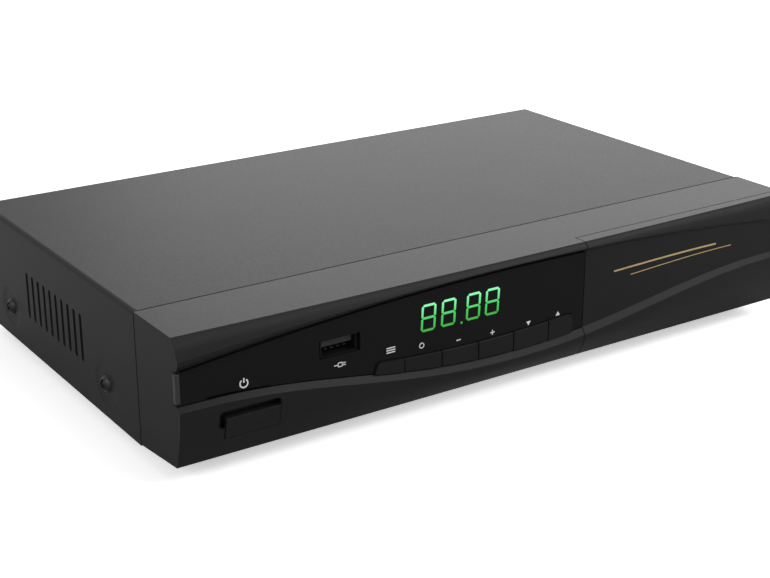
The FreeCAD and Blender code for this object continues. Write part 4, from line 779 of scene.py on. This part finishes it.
JACK_MID_X = 29.5
JACK_STEP = 14.0
JACK_ROWS_Z = (11.52, 25.52)
JACK_RING_PROFILE = ((4.25, 0.0), (5.6, 0.0), (5.6, 0.5), (5.35, 0.75), (4.25, 0.75))
JACK_RING_Y = COVER_DEPTH + 0.02
JACK_COLOURS = (("yellow", (0.62, 0.42, 0.02)), ("white", (0.62, 0.62, 0.6)), ("red", (0.45, 0.014, 0.012)),
                ("green", (0.02, 0.25, 0.05)), ("blue", (0.02, 0.06, 0.32)), ("dark_red", (0.36, 0.012, 0.012)))
jack_places = [(JACK_MID_X + JACK_STEP * i, z) for z in JACK_ROWS_Z for i in (-1, 0, 1)]
for (jack_x, jack_z), (colour_name, colour) in zip(jack_places, JACK_COLOURS):
    finish = grained(colour_name + "_jack_plastic", colour, rough=0.4, grain=1500.0, depth=0.01, specular=0.4)
    ring = turned(JACK_RING_PROFILE, (jack_x, JACK_RING_Y, jack_z), (0, 1, 0))
    add_piece(colour_name + "_jack_ring", *ring, finish, "chassis", "black_plastic")

# Stage and lights, in metres and watts
FLOOR_HALF = 9.0
FLOOR_Z = -0.0002
FLOOR_WHITE = (0.95, 0.95, 0.95)
FLOOR_TO_OBJECT = (0.1, 0.1, 0.1)
FLOOR_GLOW = 0.55
GLOW_REACH = (0.5, 1.8)
BLACK = (0.0, 0.0, 0.0)
WHITE = (1.0, 1.0, 1.0)
WORLD_LEVEL = 0.128
LAMPS = (
    ("back_right_panel", (0.8, 0.85, 0.45), (0.05, 0.0, 0.0), (1.1, 0.6), 5.7),
    ("overhead_panel", (0.25, 0.05, 1.25), (0.0, 0.0, 0.0), (1.4, 1.1), 6.4),
    ("front_right_panel", (0.72, -0.8, 0.85), (0.0, -0.05, 0.02), (1.0, 0.5), 10.3),
    ("front_left_panel", (-0.6, -1.1, 0.85), (0.0, -0.05, 0.02), (0.8, 0.6), 3.4),
    ("left_panel", (-1.15, -0.3, 0.7), (0.0, 0.0, 0.02), (0.7, 0.5), 4.6),
)


def seen_rays(tree):
    """The camera ray flag, and one for camera, glossy and transmission rays together: the largest of the three."""
    rays = tree.nodes.new("ShaderNodeLightPath").outputs
    seen = add_maths(tree, "MAXIMUM", rays["Is Camera Ray"], rays["Is Glossy Ray"])
    return rays["Is Camera Ray"], add_maths(tree, "MAXIMUM", seen, rays["Is Transmission Ray"])


def make_floor():
    """A white floor that keeps the object's shadow, glows to the camera more with distance, and is clear from below."""
    half = FLOOR_HALF
    mesh = bpy.data.meshes.new("studio_floor")
    mesh.from_pydata([(x, y, FLOOR_Z) for x, y in ((-half, -half), (half, -half), (half, half), (-half, half))],
                     [], [[0, 1, 2, 3]])
    material, tree, shader = new_material("pale_floor")
    camera_ray, seen = seen_rays(tree)
    tree.links.new(blend_colours(tree, seen, FLOOR_TO_OBJECT, FLOOR_WHITE), shader.inputs["Base Color"])
    shader.inputs["Roughness"].default_value = 1.0
    shader.inputs["Specular IOR Level"].default_value = 0.0
    reach = tree.nodes.new("ShaderNodeVectorMath")
    reach.operation = "LENGTH"
    tree.links.new(object_place(tree), reach.inputs[0])
    glow = carried(tree, reach.outputs["Value"], GLOW_REACH, (FLOOR_GLOW, 1.0))
    glow = add_maths(tree, "MULTIPLY", glow, camera_ray)
    tree.links.new(blend_colours(tree, glow, BLACK, WHITE), shader.inputs["Emission Color"])
    shader.inputs["Emission Strength"].default_value = 1.0
    clear = tree.nodes.new("ShaderNodeBsdfTransparent")
    mix = tree.nodes.new("ShaderNodeMixShader")
    tree.links.new(tree.nodes.new("ShaderNodeNewGeometry").outputs["Backfacing"], mix.inputs["Fac"])
    tree.links.new(shader.outputs["BSDF"], mix.inputs[1])
    tree.links.new(clear.outputs["BSDF"], mix.inputs[2])
    tree.links.new(mix.outputs["Shader"], tree.nodes["Material Output"].inputs["Surface"])
    mesh.materials.append(material)
    floor = placed("studio_floor", mesh)


def make_world():
    """A world that is white to the camera and in gloss and glass, and a low even light otherwise."""
    world = bpy.data.worlds.new("white_studio")
    bpy.context.scene.world = world
    world.use_nodes = True
    tree = world.node_tree
    tree.nodes.clear()
    _, seen = seen_rays(tree)
    background = tree.nodes.new("ShaderNodeBackground")
    background.inputs["Color"].default_value = (*WHITE, 1.0)
    tree.links.new(carried(tree, seen, (0.0, 1.0), (WORLD_LEVEL, 1.0)), background.inputs["Strength"])
    output = tree.nodes.new("ShaderNodeOutputWorld")
    tree.links.new(background.outputs["Background"], output.inputs["Surface"])


def soft_light(name, place, target, size, watts):
    """A rectangular lamp that faces a target."""
    light = bpy.data.lights.new(name, "AREA")
    light.shape = "RECTANGLE"
    light.size, light.size_y = size
    light.energy = watts
    lamp = placed(name, light)
    lamp.location = place
    lamp.rotation_euler = (Vector(target) - Vector(place)).to_track_quat("-Z", "Y").to_euler()


make_floor()
make_world()
for lamp_values in LAMPS:
    soft_light(*lamp_values)

# Camera at the photograph's place
CAMERA_PLACE = (-0.30942, -0.46280, 0.22305)
CAMERA_YAW = math.radians(33.840)
CAMERA_PITCH = math.radians(20.770)
CAMERA_LENS = 71.80
SENSOR_W = 36.0
lens = bpy.data.cameras.new("photo_camera")
lens.lens = CAMERA_LENS
lens.sensor_width = SENSOR_W
camera = placed("photo_camera", lens)
camera.location = CAMERA_PLACE
level_reach = math.cos(CAMERA_PITCH)
look = Vector((math.sin(CAMERA_YAW) * level_reach, math.cos(CAMERA_YAW) * level_reach, -math.sin(CAMERA_PITCH)))
camera.rotation_euler = look.to_track_quat("-Z", "Y").to_euler()
bpy.context.scene.camera = camera
bpy.context.scene.view_settings.view_transform = "Standard"
